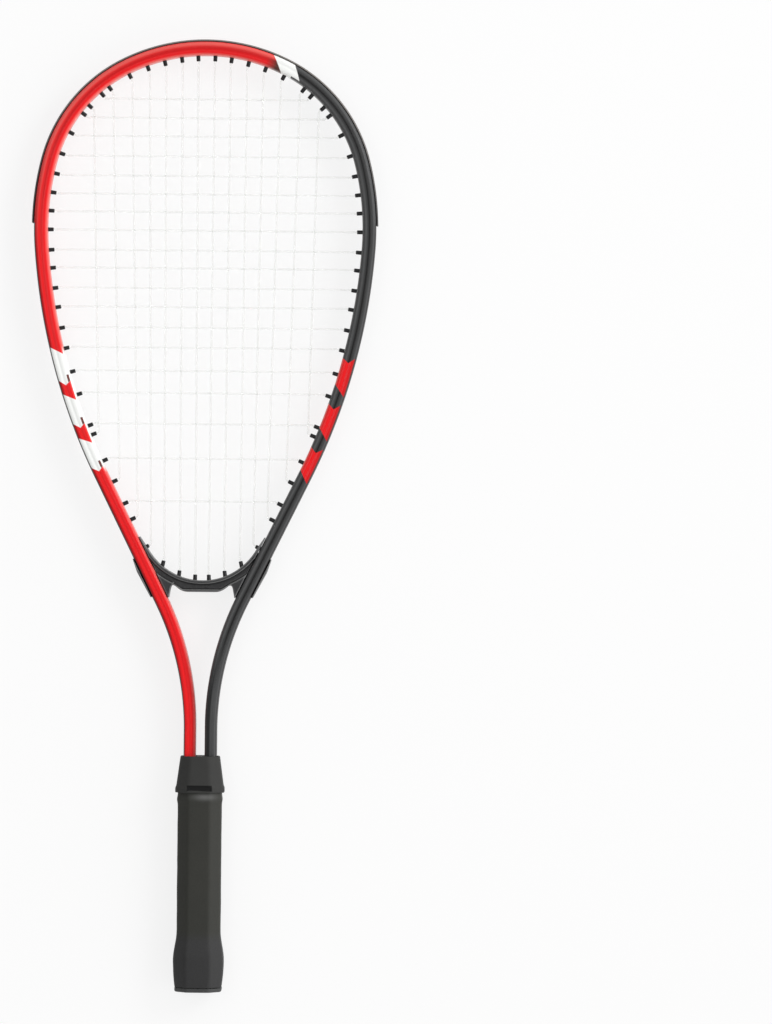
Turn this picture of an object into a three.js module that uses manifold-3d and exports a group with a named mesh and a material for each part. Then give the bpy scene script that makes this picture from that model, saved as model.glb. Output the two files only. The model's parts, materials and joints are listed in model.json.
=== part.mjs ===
// A crossminton racket: one bent aluminium tube, a moulded throat bridge, grommet strips,
// nylon strings and a two-part handle in a moulded grip sleeve. Sizes are in millimetres.
// X runs across the racket, Y from the butt to the head, Z out of the front face.
// It lies on its back: the middle of the racket is at X 0 and Y 0, the lowest point at Z 0.

import * as THREE from 'three';
import { mergeVertices } from 'three/addons/utils/BufferGeometryUtils.js';
import Module from 'manifold-3d';

const wasm = await Module();
wasm.setup();

const degree = Math.PI / 180;
const searchSteps = 50;

// Whole racket
const racketLength = 600;
const fitGap = 0.3;
const cutOverrun = 2;

// Frame line: the middle of the tube, as tangent bends from the crown down to the leg
const crownRadius = 112;
const crownTurn = 27.4 * degree;
const shoulderRadius = 91.7;
const shoulderTurn = 48.1 * degree;
const sideRadius = 170;
const sideTurn = 18.7 * degree;
const cheekRadius = 388.4;
const cheekTurn = 22 * degree;
const throatRadius = 183.3;
const legSpacing = 13.2;
const legEndHeight = 15;
const chordSag = 0.2;

// Frame tube: an extrusion with a string groove outside and a crease along each face
const tubeWidth = 8.8;
const tubeDepth = 13.5;
const tubeWall = 0.9;
const grooveDepth = 3;
const grooveWidth = 5.4;
const creaseDepth = 0.6;
const creasePlaceShare = 0.07;
const outerLobeShares = [[1, 0.68], [0.8, 0.9], [0.5, 1]];
const innerLobeShares = [[-0.36, 1], [-0.77, 0.87], [-1, 0.62]];
const legWidth = 7.8;

// Strings: 14 mains and 19 crosses, placed by shares of the head's half width and bed length
const stringDiameter = 1.2;
const stringBend = 1.5;
const stringSides = 5;
const stringStep = 46 * degree;
const stringKink = 6 * degree;
const mainTopShares = [0.048, 0.14, 0.236, 0.332, 0.434, 0.546, 0.657];
const mainFrameShares = [0.299, 0.379, 0.487, 0.612];
const mainBridgeShares = [0.039, 0.129, 0.221];
const crossLevelShares = [
  0.11, 0.145, 0.179, 0.216, 0.252, 0.286, 0.319, 0.353, 0.39, 0.423,
  0.46, 0.495, 0.533, 0.57, 0.613, 0.654, 0.711, 0.775, 0.854];

// Grommet strips: a band in the groove with one barrel for each string hole
const stripThickness = 0.7;
const barrelDiameter = 3;
const barrelBore = 2.1;
const barrelProud = 3.4;
const barrelSides = 6;
const boreSides = 5;
const drillSides = 6;
const loopLift = 1.1;
const bumperProud = 1.2;
const bumperWidth = 10;
const bumperWall = 0.6;
const bumperCrosses = 7;
const bumperEndShare = 0.68;
const sideStripMargin = 6;

// Throat bridge: a curved yoke whose ends are saddles round the tube
const bridgeSpan = 63.25;
const bridgeCrestRadius = 39.5;
const bridgeArmTurn = 61 * degree;
const yokeThickness = 7.3;
const yokeDepth = 11.8;
const yokeFlatWidth = 24.2;
const notchReach = 19;
const notchRise = 5.6;
const yokeFloor = 3.7;
const channelTurn = 41 * degree;
const bridgeTiltShare = 0.35;
const armTipRise = 25.2;
const armTipWall = 0.8;
const saddleTopRise = 21.5;
const saddleLugRise = 7.6;
const saddleEndDrop = 10.3;
const saddleWall = 1.5;
const saddleFrontSetback = 1;
const lipThin = 0.6;
const lipThick = 1.5;

// Grip sleeve: an octagonal sleeve that flares over the butt
const gripWidth = 27.8;
const gripDepth = 24;
const buttWidth = 32;
const buttDepth = 28;
const gripBevelShare = 0.5;
const wrapWall = 1.8;
const wrapOverlap = 2.3;
const wrapTuck = 0.5;
const flareHeight = 38;
const swellHeight = 18.3;
const swellEndHeight = 9;
const wrapEndHeight = 2.8;
const flareMiddleShare = 0.5;
const swellEndShare = 0.88;
const buttEndShare = 0.45;
const buttChamfer = 1.2;

// Collar: the tapered rubber ferrule over the handle's top
const collarEndHeight = 125.7;
const collarLength = 22.9;
const collarSkirtLength = 2.7;
const collarTopWidth = 24.9;
const collarTopDepth = 21;
const collarSkirtWidth = 30.7;
const collarSkirtDepth = 27;
const collarRoof = 6;
const collarLipRoom = 2.7;

// Handle shells: two moulded halves with a channel for each leg and a rib between
const shellEndHeight = 6;
const ribWidth = 4.8;
const legChannelWall = 1;
const legChannelChamfer = 1.8;

// Fasteners in the handle
const screwHeights = [116, 74, 32];
const screwDiameter = 3;
const screwHeadDiameter = 5.4;
const screwHeadHeight = 1.9;
const screwTipWall = 1.6;
const pinHeights = [97, 51];
const pinDiameter = 2.5;
const pinSetback = 0.3;
const tackHeight = 10.5;
const tackLength = 6;
const tackDiameter = 1.4;
const tackHeadDiameter = 3.6;
const tackHeadThickness = 0.7;
const roundSides = 10;

// Places worked out from the sizes above
const headTop = racketLength / 2;
const buttLevel = -racketLength / 2;
const halfTube = tubeWidth / 2;
const halfTubeDepth = tubeDepth / 2;
const grooveFloor = halfTube - grooveDepth;
const stripOuter = grooveFloor + fitGap + stripThickness;
const stringLevel = (stringDiameter + fitGap) / 2;
const vertexReach = barrelProud + stringBend;
const crownLevel = headTop - bumperProud - halfTube;
const upAxis = new THREE.Vector3(0, 0, 1);

function lift(point, level) {
  return new THREE.Vector3(point.x, point.y, level);
}

// Solids: closed geometries in, booleans between them, plain geometries out
function solidOf(geometry) {
  const bare = geometry.clone();
  bare.deleteAttribute('normal');
  bare.deleteAttribute('uv');
  const welded = mergeVertices(bare);
  return new wasm.Manifold(new wasm.Mesh({
    numProp: 3,
    vertProperties: new Float32Array(welded.attributes.position.array),
    triVerts: new Uint32Array(welded.index.array),
  }));
}

function geometryOf(solid) {
  const mesh = solid.getMesh();
  const geometry = new THREE.BufferGeometry();
  geometry.setAttribute('position', new THREE.Float32BufferAttribute(mesh.vertProperties, 3));
  geometry.setIndex(new THREE.Uint32BufferAttribute(mesh.triVerts, 1));
  geometry.computeVertexNormals();
  return geometry;
}

function joined(solids) {
  return solids.reduce((sum, next) => sum.add(next));
}

function cut(solid, tools) {
  return tools.reduce((rest, tool) => rest.subtract(tool), solid);
}

// A straight extrusion whose rings are carried to the stations: x along right, y along up
function sweep(shape, stations) {
  const last = stations.length - 1;
  const geometry = new THREE.ExtrudeGeometry(shape, { depth: 1, steps: last, bevelEnabled: false });
  const place = geometry.attributes.position;
  const point = new THREE.Vector3();
  for (let i = 0; i < place.count; i++) {
    const station = stations[Math.round(place.getZ(i) * last)];
    point.copy(station.at);
    point.addScaledVector(station.right, place.getX(i));
    point.addScaledVector(station.up, place.getY(i));
    place.setXYZ(i, point.x, point.y, point.z);
  }
  return geometry;
}

function shapeOf(points) {
  return new THREE.Shape(points.map(([x, y]) => new THREE.Vector2(x, y)));
}

// An outline of its points above the middle line, repeated below it
function mirroredShape(points) {
  const below = points.map(([x, y]) => [x, -y]).reverse();
  return shapeOf([...points, ...below]);
}

function rectangle(left, right, low, high) {
  return shapeOf([[left, low], [right, low], [right, high], [left, high]]);
}

function rod(from, to, diameter, sides) {
  const along = to.clone().sub(from);
  const geometry = new THREE.CylinderGeometry(diameter / 2, diameter / 2, along.length(), sides);
  const turn = new THREE.Quaternion().setFromUnitVectors(
    new THREE.Vector3(0, 1, 0), along.clone().normalize());
  geometry.applyQuaternion(turn);
  const middle = from.clone().lerp(to, 0.5);
  return geometry.translate(middle.x, middle.y, middle.z);
}

function box(left, right, near, far, low, high) {
  const geometry = new THREE.BoxGeometry(right - left, far - near, high - low);
  return geometry.translate((left + right) / 2, (near + far) / 2, (low + high) / 2);
}

function slab(outline, low, high) {
  const shape = new THREE.Shape(outline);
  const geometry = new THREE.ExtrudeGeometry(shape, { depth: high - low, bevelEnabled: false });
  return geometry.translate(0, 0, low);
}

// The right half of the frame line. A heading is a clockwise angle from +X.
function outwardOf(heading) {
  return new THREE.Vector2(Math.sin(heading), Math.cos(heading));
}

function layFrameLine() {
  const runs = [];
  let place = new THREE.Vector2(0, crownLevel);
  let heading = 0;
  let start = 0;

  function bend(radius, turn) {
    const centre = place.clone().addScaledVector(outwardOf(heading), -radius);
    const length = radius * turn;
    runs.push({ start, length, heading, radius, centre });
    start += length;
    heading += turn;
    place = centre.clone().addScaledVector(outwardOf(heading), radius);
  }

  function straight(length) {
    const along = new THREE.Vector2(Math.cos(heading), -Math.sin(heading));
    runs.push({ start, length, heading, radius: 0, place, along });
    start += length;
    place = place.clone().addScaledVector(along, length);
  }

  bend(crownRadius, crownTurn);
  bend(shoulderRadius, shoulderTurn);
  bend(sideRadius, sideTurn);
  bend(cheekRadius, cheekTurn);
  const lean = heading - Math.PI / 2;
  const inset = place.x - legSpacing / 2 - throatRadius * (1 - Math.cos(lean));
  straight(inset / Math.sin(lean));
  bend(-throatRadius, -lean);
  straight(place.y - (buttLevel + legEndHeight));
  return runs;
}

const frameLine = layFrameLine();
const [throatBend, legRun] = frameLine.slice(-2);
const frameReach = legRun.start + legRun.length;

// The tube keeps its width round the head and narrows along the throat bend
function widthShareAt(distance) {
  const share = (Math.abs(distance) - throatBend.start) / throatBend.length;
  return THREE.MathUtils.lerp(1, legWidth / tubeWidth, THREE.MathUtils.clamp(share, 0, 1));
}

// A place on the frame line, by its distance from the crown, to the left where negative
function frameAt(distance) {
  const side = distance < 0 ? -1 : 1;
  const walked = Math.abs(distance);
  const run = frameLine.find((each) => walked <= each.start + each.length) ?? legRun;
  const past = walked - run.start;
  const heading = run.heading + (run.radius ? past / run.radius : 0);
  const out = outwardOf(heading);
  const place = run.radius
    ? run.centre.clone().addScaledVector(out, run.radius)
    : run.place.clone().addScaledVector(run.along, past);
  place.x *= side;
  out.x *= side;
  return { place, out, share: widthShareAt(distance) };
}

// A point beside the frame line, offset outward by a size of the tube's section
function besideFrame(distance, offset) {
  const { place, out, share } = frameAt(distance);
  return place.addScaledVector(out, offset * share);
}

// Steps that keep the chords of a bend within the allowed sag
function bendSteps(radius, turn) {
  return Math.ceil(Math.abs(turn) / (2 * Math.acos(1 - chordSag / Math.abs(radius))));
}

// All that follows the frame bends at the same stops as the tube does
const frameGrid = frameLine.flatMap((run) => {
  const steps = run.radius ? bendSteps(run.radius, run.length / run.radius) : 1;
  return Array.from({ length: steps }, (_, k) => run.start + run.length * k / steps);
});

function halfStops(from, to) {
  return [from, ...frameGrid.filter((stop) => stop > from + fitGap && stop < to - fitGap), to];
}

function frameStops(from, to) {
  const left = from < 0 ? halfStops(Math.max(-to, 0), -from).reverse().map((stop) => -stop) : [];
  const right = to > 0 ? halfStops(Math.max(from, 0), to) : [];
  return from < 0 && to > 0 ? [...left, ...right.slice(1)] : [...left, ...right];
}

function frameStations(from, to) {
  return frameStops(from, to).map((stop) => {
    const { place, out, share } = frameAt(stop);
    return { at: lift(place, 0), right: lift(out.multiplyScalar(share), 0), up: upAxis };
  });
}

// The distance between two others at which a steady measure reaches its target
function findBetween(low, high, target, measure) {
  const rising = measure(high) > measure(low);
  let [near, far] = [low, high];
  for (let step = 0; step < searchSteps; step++) {
    const middle = (near + far) / 2;
    const short = measure(middle) < target;
    if (short === rising) {
      near = middle;
    } else {
      far = middle;
    }
  }
  return (near + far) / 2;
}

function distanceBesideAtLevel(level, offset) {
  return findBetween(0, frameReach, level, (distance) => besideFrame(distance, offset).y);
}

function distanceAtLevel(level) {
  return distanceBesideAtLevel(level, 0);
}

function distanceAtHeading(heading) {
  const run = frameLine.find((each) => each.heading + each.length / each.radius >= heading);
  return run.start + (heading - run.heading) * run.radius;
}

const widestDistance = distanceAtHeading(Math.PI / 2);
const headHalfWidth = besideFrame(widestDistance, halfTube).x;

// The bridge sits where the two sides of the head have come this near each other
const bridgeDistance = findBetween(
  widestDistance, legRun.start, bridgeSpan / 2, (distance) => frameAt(distance).place.x);
const bridgeCrestLevel = frameAt(bridgeDistance).place.y;
const bridgeCentreLevel = bridgeCrestLevel + bridgeCrestRadius;
const armTipDistance = distanceAtLevel(bridgeCrestLevel + armTipRise);
const saddleTopDistance = distanceAtLevel(bridgeCrestLevel + saddleTopRise);
const saddleLugDistance = distanceAtLevel(bridgeCrestLevel + saddleLugRise);
const saddleEndLevel = bridgeCrestLevel - saddleEndDrop;
const saddleEndDistance = distanceAtLevel(saddleEndLevel);
const saddleInnerReach = halfTube + fitGap + saddleWall;
const saddleOuterReach = halfTube + fitGap + lipThin;
const saddleInnerEnd = distanceBesideAtLevel(saddleEndLevel, -saddleInnerReach);
const saddleOuterEnd = distanceBesideAtLevel(saddleEndLevel, saddleOuterReach);

// String holes. Each has its barrel's foot and tip, where the string turns inside the head,
// and where it turns in the groove outside.
function frameHole(distance) {
  return {
    distance,
    foot: besideFrame(distance, stripOuter - stripThickness / 2),
    tip: besideFrame(distance, -halfTube - barrelProud),
    inside: besideFrame(distance, -halfTube - vertexReach),
    outside: besideFrame(distance, stripOuter + loopLift),
  };
}

function insideX(distance) {
  return frameHole(distance).inside.x;
}

function insideY(distance) {
  return frameHole(distance).inside.y;
}

function crestPoint(turn, depth) {
  const radius = bridgeCrestRadius + depth;
  return new THREE.Vector2(radius * Math.sin(turn), bridgeCentreLevel - radius * Math.cos(turn));
}

function bridgeHole(turn) {
  const tilt = turn * bridgeTiltShare;
  const axis = new THREE.Vector2(-Math.sin(tilt), Math.cos(tilt));
  const slant = Math.cos(turn - tilt);
  const crest = crestPoint(turn, 0);
  const along = (offset) => crest.clone().addScaledVector(axis, offset);
  const floor = yokeFloor + fitGap;
  return {
    turn,
    foot: along(-(floor + stripThickness / 2) / slant),
    tip: along(barrelProud),
    inside: along(vertexReach),
    outside: along(-(floor + stripThickness + loopLift) / slant),
  };
}

const mainTops = mainTopShares.map((share) =>
  frameHole(findBetween(0, widestDistance, share * headHalfWidth, insideX)));
const mainFrameBottoms = mainFrameShares.map((share) =>
  frameHole(findBetween(widestDistance, throatBend.start, share * headHalfWidth, insideX)));
const mainBridgeBottoms = mainBridgeShares.map((share) =>
  bridgeHole(findBetween(0, bridgeArmTurn, share * headHalfWidth, (turn) => bridgeHole(turn).inside.x)));
const mainBottoms = [...mainBridgeBottoms, ...mainFrameBottoms];
const bedLength = headTop - bridgeCrestLevel;
const crossEnds = crossLevelShares.map((share) =>
  frameHole(findBetween(0, throatBend.start, headTop - share * bedLength, insideY)));
const [bumperLastHole, sideFirstHole] = crossEnds.slice(bumperCrosses - 1);
const bumperEndDistance = THREE.MathUtils.lerp(
  bumperLastHole.distance, sideFirstHole.distance, bumperEndShare);
const sideStripEndDistance = mainFrameBottoms[0].distance + sideStripMargin;

function mirroredHole(hole) {
  const flip = (point) => new THREE.Vector2(-point.x, point.y);
  return {
    ...hole,
    distance: -hole.distance,
    turn: -hole.turn,
    foot: flip(hole.foot),
    tip: flip(hole.tip),
    inside: flip(hole.inside),
    outside: flip(hole.outside),
  };
}

// Where a string rests between two neighbouring holes, outside the frame or under the bridge
function loopMiddle(one, other) {
  if (Number.isFinite(one.distance)) {
    return besideFrame((one.distance + other.distance) / 2, stripOuter + loopLift);
  }
  return crestPoint((one.turn + other.turn) / 2, yokeFloor + fitGap + stripThickness + loopLift);
}

// One unbroken string: along each run, round to the next hole, and back
function stringRoute(runs) {
  const route = [];
  runs.forEach(([first, second], index) => {
    const [enter, leave] = index % 2 ? [second, first] : [first, second];
    if (index > 0) {
      const previous = runs[index - 1][index % 2 ? 1 : 0];
      route.push(loopMiddle(previous, enter));
    }
    route.push(enter.outside, enter.inside, leave.inside, leave.outside);
  });
  return route;
}

function roundCorners(points) {
  const rounded = [points[0]];
  for (let i = 1; i < points.length - 1; i++) {
    const arrive = points[i].clone().sub(points[i - 1]).normalize();
    const depart = points[i + 1].clone().sub(points[i]).normalize();
    const turn = Math.acos(THREE.MathUtils.clamp(arrive.dot(depart), -1, 1));
    const reach = stringBend * Math.tan(turn / 2);
    const steps = turn > stringKink ? Math.ceil(turn / stringStep) : 0;
    const start = points[i].clone().addScaledVector(arrive, -reach);
    if (steps === 0) {
      rounded.push(points[i]);
      continue;
    }
    const side = Math.sign(arrive.cross(depart));
    const inward = new THREE.Vector2(-arrive.y, arrive.x).multiplyScalar(side);
    const centre = start.clone().addScaledVector(inward, stringBend);
    for (let k = 0; k <= steps; k++) {
      rounded.push(start.clone().rotateAround(centre, side * turn * k / steps));
    }
  }
  rounded.push(points[points.length - 1]);
  return rounded;
}

function stringGeometry(runs, level) {
  const points = roundCorners(stringRoute(runs));
  const stations = points.map((point, i) => {
    const arrive = points[Math.max(i, 1)].clone().sub(points[Math.max(i, 1) - 1]).normalize();
    const next = Math.min(i, points.length - 2);
    const depart = points[next + 1].clone().sub(points[next]).normalize();
    const along = arrive.clone().add(depart).normalize();
    const right = new THREE.Vector2(-along.y, along.x).divideScalar(along.dot(arrive));
    return { at: lift(point, level), right: lift(right, 0), up: upAxis };
  });
  const corners = Array.from({ length: stringSides }, (_, k) => {
    const turn = 2 * Math.PI * k / stringSides;
    return [stringDiameter / 2 * Math.cos(turn), stringDiameter / 2 * Math.sin(turn)];
  });
  return sweep(shapeOf(corners), stations);
}

// Mains stand left to right and crosses from the crown down, each as its first and second end
const mainRuns = [
  ...mainTops.map((top, i) => [mirroredHole(top), mirroredHole(mainBottoms[i])]).reverse(),
  ...mainTops.map((top, i) => [top, mainBottoms[i]]),
];
const crossRuns = crossEnds.map((hole) => [mirroredHole(hole), hole]);

// Frame tube
function tubeShape() {
  const outline = [
    [grooveFloor, grooveWidth / 2],
    [halfTube, grooveWidth / 2],
    ...outerLobeShares.map(([x, y]) => [x * halfTube, y * halfTubeDepth]),
    [creasePlaceShare * halfTube, halfTubeDepth - creaseDepth],
    ...innerLobeShares.map(([x, y]) => [x * halfTube, y * halfTubeDepth]),
  ];
  const [innerWidth, innerDepth] = [halfTube - tubeWall, halfTubeDepth - tubeWall];
  const [outerLobe, innerLobe, innerEdge] = [outerLobeShares[2], innerLobeShares[0], innerLobeShares[2]];
  const bore = [
    [grooveFloor - tubeWall, grooveWidth / 2 + tubeWall],
    [innerWidth, grooveWidth / 2 + tubeWall],
    [outerLobe[0] * innerWidth, outerLobe[1] * innerDepth],
    [creasePlaceShare * halfTube, innerDepth - creaseDepth],
    [innerLobe[0] * innerWidth, innerLobe[1] * innerDepth],
    [innerEdge[0] * innerWidth, innerEdge[1] * innerDepth],
  ];
  const shape = mirroredShape(outline);
  shape.holes.push(mirroredShape(bore));
  return shape;
}

const mainHoles = mainRuns.flat();
const crossHoles = crossRuns.flat();
const levelledHoles = [
  ...mainHoles.map((hole) => ({ ...hole, level: stringLevel })),
  ...crossHoles.map((hole) => ({ ...hole, level: -stringLevel })),
];
const tubeHoles = levelledHoles.filter((hole) => Number.isFinite(hole.distance));
const bridgeHoles = levelledHoles.filter((hole) => Number.isFinite(hole.turn));

function drillFor(hole) {
  const diameter = barrelDiameter + 2 * fitGap;
  const outward = hole.foot.clone().sub(hole.tip).normalize();
  const start = hole.foot.clone().addScaledVector(outward, cutOverrun);
  return solidOf(rod(lift(start, hole.level), lift(hole.tip, hole.level), diameter, drillSides));
}

function legPinRods(diameter, overrun) {
  const reach = gripWidth / 2 - wrapWall - fitGap - pinSetback + overrun;
  return pinHeights.map((height) => rod(
    new THREE.Vector3(-reach, buttLevel + height, 0),
    new THREE.Vector3(reach, buttLevel + height, 0), diameter, roundSides));
}

const pinCuts = legPinRods(pinDiameter + 2 * fitGap, cutOverrun).map(solidOf);

function frameTube() {
  const tube = solidOf(sweep(tubeShape(), frameStations(-frameReach, frameReach)));
  return cut(tube, [...tubeHoles.map(drillFor), ...pinCuts]);
}

// Grommet strips
function barrelled(band, holes) {
  const barrels = holes.map((hole) => solidOf(
    rod(lift(hole.foot, hole.level), lift(hole.tip, hole.level), barrelDiameter, barrelSides)));
  const bores = holes.map((hole) => {
    const inward = hole.tip.clone().sub(hole.foot).normalize();
    const start = hole.foot.clone().addScaledVector(inward, -stripThickness - fitGap);
    const end = hole.tip.clone().addScaledVector(inward, cutOverrun);
    return solidOf(rod(lift(start, hole.level), lift(end, hole.level), barrelBore, boreSides));
  });
  return cut(joined([band, ...barrels]), bores);
}

function headBumperStrip() {
  const wallOuter = grooveWidth / 2 - fitGap;
  const wallInner = wallOuter - bumperWall;
  const wingFoot = halfTube + fitGap;
  const wingTop = halfTube + bumperProud;
  const wingEdge = bumperWidth / 2;
  const section = mirroredShape([
    [stripOuter, wallInner],
    [wingTop, wallInner],
    [wingTop, wingEdge - bumperWall],
    [wingFoot, wingEdge],
    [wingFoot, wallOuter],
    [grooveFloor + fitGap, wallOuter],
  ]);
  const band = solidOf(sweep(section, frameStations(-bumperEndDistance, bumperEndDistance)));
  return barrelled(band, tubeHoles.filter((hole) => Math.abs(hole.distance) < bumperEndDistance));
}

function sideStrip(side) {
  const halfBand = grooveWidth / 2 - fitGap;
  const section = rectangle(grooveFloor + fitGap, stripOuter, -halfBand, halfBand);
  const start = bumperEndDistance + fitGap;
  const ends = side > 0 ? [start, sideStripEndDistance] : [-sideStripEndDistance, -start];
  const band = solidOf(sweep(section, frameStations(...ends)));
  return barrelled(band, tubeHoles.filter((hole) => hole.distance * side > start));
}

function crestStations(turn) {
  const steps = bendSteps(bridgeCrestRadius, 2 * turn);
  return Array.from({ length: steps + 1 }, (_, k) => {
    const angle = turn * (1 - 2 * k / steps);
    const down = new THREE.Vector2(Math.sin(angle), -Math.cos(angle));
    return { at: lift(crestPoint(angle, 0), 0), right: lift(down, 0), up: upAxis };
  });
}

function bridgeGrommetStrip() {
  const halfBand = grooveWidth / 2 - fitGap;
  const top = yokeFloor + fitGap;
  const section = rectangle(top, top + stripThickness, -halfBand, halfBand);
  const endGap = fitGap / bridgeCrestRadius;
  const band = solidOf(sweep(section, crestStations(channelTurn - endGap)));
  return barrelled(band, bridgeHoles);
}

// Throat bridge
function yokeOutline() {
  const underside = bridgeCrestLevel - yokeThickness;
  const outside = halfStops(armTipDistance, saddleEndDistance).reverse();
  const arcSteps = bendSteps(bridgeCrestRadius, bridgeArmTurn);
  const right = [
    new THREE.Vector2(yokeFlatWidth / 2, underside),
    new THREE.Vector2(notchReach, underside + notchRise),
    besideFrame(distanceBesideAtLevel(saddleEndLevel, -halfTube - fitGap), -halfTube - fitGap),
    ...outside.map((stop) => besideFrame(stop, 0)),
    besideFrame(armTipDistance, -halfTube - armTipWall),
    ...Array.from({ length: arcSteps }, (_, k) => crestPoint(bridgeArmTurn * (1 - k / arcSteps), 0)),
  ];
  const left = right.map((point) => new THREE.Vector2(-point.x, point.y)).reverse();
  return [...right, new THREE.Vector2(0, bridgeCrestLevel), ...left];
}

// The saddle's lip is thickest at its lug, and its two sides end at one level
function saddleOutline(side) {
  const span = saddleOuterEnd - saddleLugDistance;
  const outer = [besideFrame(saddleTopDistance, saddleOuterReach)];
  for (const stop of halfStops(saddleLugDistance, saddleOuterEnd)) {
    const lip = THREE.MathUtils.lerp(lipThick, lipThin, (stop - saddleLugDistance) / span);
    outer.push(besideFrame(stop, halfTube + fitGap + lip));
  }
  const inner = halfStops(saddleTopDistance, saddleInnerEnd).map(
    (stop) => besideFrame(stop, -saddleInnerReach));
  return [...outer, ...inner.reverse()].map((point) => new THREE.Vector2(point.x * side, point.y));
}

function throatBridge() {
  const yoke = solidOf(slab(yokeOutline(), -yokeDepth / 2, yokeDepth / 2));
  const back = -halfTubeDepth - fitGap - saddleWall;
  const front = halfTubeDepth - saddleFrontSetback;
  const saddles = [-1, 1].map((side) => solidOf(slab(saddleOutline(side), back, front)));
  const reach = halfTube + fitGap;
  const seat = rectangle(-reach, reach, -halfTubeDepth - fitGap, halfTubeDepth + cutOverrun);
  const seatStart = armTipDistance - yokeThickness;
  const seatEnd = saddleEndDistance + yokeThickness;
  const seats = [[-seatEnd, -seatStart], [seatStart, seatEnd]].map((ends) =>
    solidOf(sweep(seat, frameStations(...ends))));
  const channel = rectangle(yokeFloor, yokeThickness + cutOverrun, -grooveWidth / 2, grooveWidth / 2);
  const tools = [...seats, solidOf(sweep(channel, crestStations(channelTurn)))];
  return cut(joined([yoke, ...saddles]), [...tools, ...levelledHoles.map(drillFor)]);
}

// The handle is lofted from octagons. A size is its half width and half depth at a level.
function octagon() {
  const flat = 1 - gripBevelShare;
  const right = [[flat, -1], [1, -flat], [1, flat], [flat, 1]];
  const left = right.map(([x, y]) => [-x, -y]);
  return shapeOf([...right, ...left]);
}

function loft(rings) {
  const stations = rings.map(({ level, width, depth }) => ({
    at: new THREE.Vector3(0, level, 0),
    right: new THREE.Vector3(width, 0, 0),
    up: new THREE.Vector3(0, 0, depth),
  }));
  return solidOf(sweep(octagon(), stations));
}

const collarEnd = buttLevel + collarEndHeight;
const collarTop = collarEnd + collarLength;
const wrapTop = collarEnd + wrapOverlap;
const wrapEnd = buttLevel + wrapEndHeight;
const flareLevel = buttLevel + flareHeight;
const swellLevel = buttLevel + swellHeight;
const gripStages = [
  [wrapTop, 0],
  [flareLevel, 0],
  [(flareLevel + swellLevel) / 2, flareMiddleShare],
  [swellLevel, 1],
  [buttLevel + swellEndHeight, swellEndShare],
  [wrapEnd, buttEndShare],
];

function gripRing(level, swell, inset) {
  return {
    level,
    width: THREE.MathUtils.lerp(gripWidth, buttWidth, swell) / 2 - inset,
    depth: THREE.MathUtils.lerp(gripDepth, buttDepth, swell) / 2 - inset,
  };
}

// The sleeve narrows just below the collar, so that its flats end clear of the collar's skirt
function gripWrap() {
  const neck = collarEnd - fitGap;
  const outer = loft([
    gripRing(wrapTop, 0, wrapTuck),
    gripRing(neck, 0, wrapTuck),
    gripRing(neck - wrapTuck, 0, 0),
    ...gripStages.slice(1).map(([level, swell]) => gripRing(level, swell, 0)),
  ]);
  const inner = gripStages.map(([level, swell]) => gripRing(level, swell, wrapWall));
  const [first, last] = [inner[0], inner[inner.length - 1]];
  const bore = [
    { ...first, level: first.level + cutOverrun }, ...inner, { ...last, level: last.level - cutOverrun }];
  return outer.subtract(loft(bore));
}

const shellInset = wrapWall + fitGap;
const shellRing = gripRing(0, 0, shellInset);
const collarPocketTop = collarTop - collarRoof;
const shellTop = collarPocketTop - fitGap;
const shellEnd = buttLevel + shellEndHeight;
const legEnd = buttLevel + legEndHeight;
const legOuter = (legSpacing + legWidth) / 2;

// A channel for one leg, along the handle, with chamfered corners that follow the tube's section
function legChannel(side, inner, outer, end) {
  const deep = halfTubeDepth + fitGap;
  const [low, high] = [inner + legChannelChamfer, outer - legChannelChamfer];
  const shape = mirroredShape([
    [side * inner, deep - legChannelChamfer],
    [side * low, deep],
    [side * high, deep],
    [side * outer, deep - legChannelChamfer],
  ]);
  const stations = [collarTop + cutOverrun, end].map((level) => (
    { at: new THREE.Vector3(0, level, 0), right: new THREE.Vector3(1, 0, 0), up: upAxis }));
  return solidOf(sweep(shape, stations));
}

function shellPocket(top, end, gap) {
  const size = { width: shellRing.width + gap, depth: shellRing.depth + gap };
  return loft([{ level: top, ...size }, { level: end, ...size }]);
}

// Screws run through the rib between the legs, tacks through the butt cap into the shells
function screwGeometry(height, gap) {
  const top = shellRing.depth - fitGap + (gap > 0 ? cutOverrun : 0);
  const headFoot = shellRing.depth - fitGap - screwHeadHeight - gap;
  const tip = -shellRing.depth + screwTipWall - gap;
  const profile = [
    [0, tip],
    [screwDiameter / 2 + gap, tip],
    [screwDiameter / 2 + gap, headFoot],
    [screwHeadDiameter / 2 + gap, headFoot + screwHeadHeight / 2],
    [screwHeadDiameter / 2 + gap, top],
    [0, top],
  ].map(([x, y]) => new THREE.Vector2(x, y));
  const geometry = new THREE.LatheGeometry(profile, roundSides);
  return geometry.rotateX(Math.PI / 2).translate(0, buttLevel + height, 0);
}

const tackLevel = buttLevel + tackHeight;
const tackSeat = gripRing(tackLevel, swellEndShare, wrapWall + fitGap).width - fitGap;

function tackGeometry(side, gap) {
  const top = tackSeat + (gap > 0 ? cutOverrun : 0);
  const headFoot = tackSeat - tackHeadThickness - gap;
  const tip = tackSeat - tackLength - gap;
  const profile = [
    [0, tip],
    [tackDiameter / 2 + gap, tip],
    [tackDiameter / 2 + gap, headFoot],
    [tackHeadDiameter / 2 + gap, headFoot],
    [tackHeadDiameter / 2 + gap, top],
    [0, top],
  ].map(([x, y]) => new THREE.Vector2(x, y));
  const geometry = new THREE.LatheGeometry(profile, roundSides);
  return geometry.rotateZ(-side * Math.PI / 2).translate(0, tackLevel, 0);
}

const screwCuts = screwHeights.map((height) => solidOf(screwGeometry(height, fitGap)));
const tackCuts = [-1, 1].map((side) => solidOf(tackGeometry(side, fitGap)));

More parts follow.
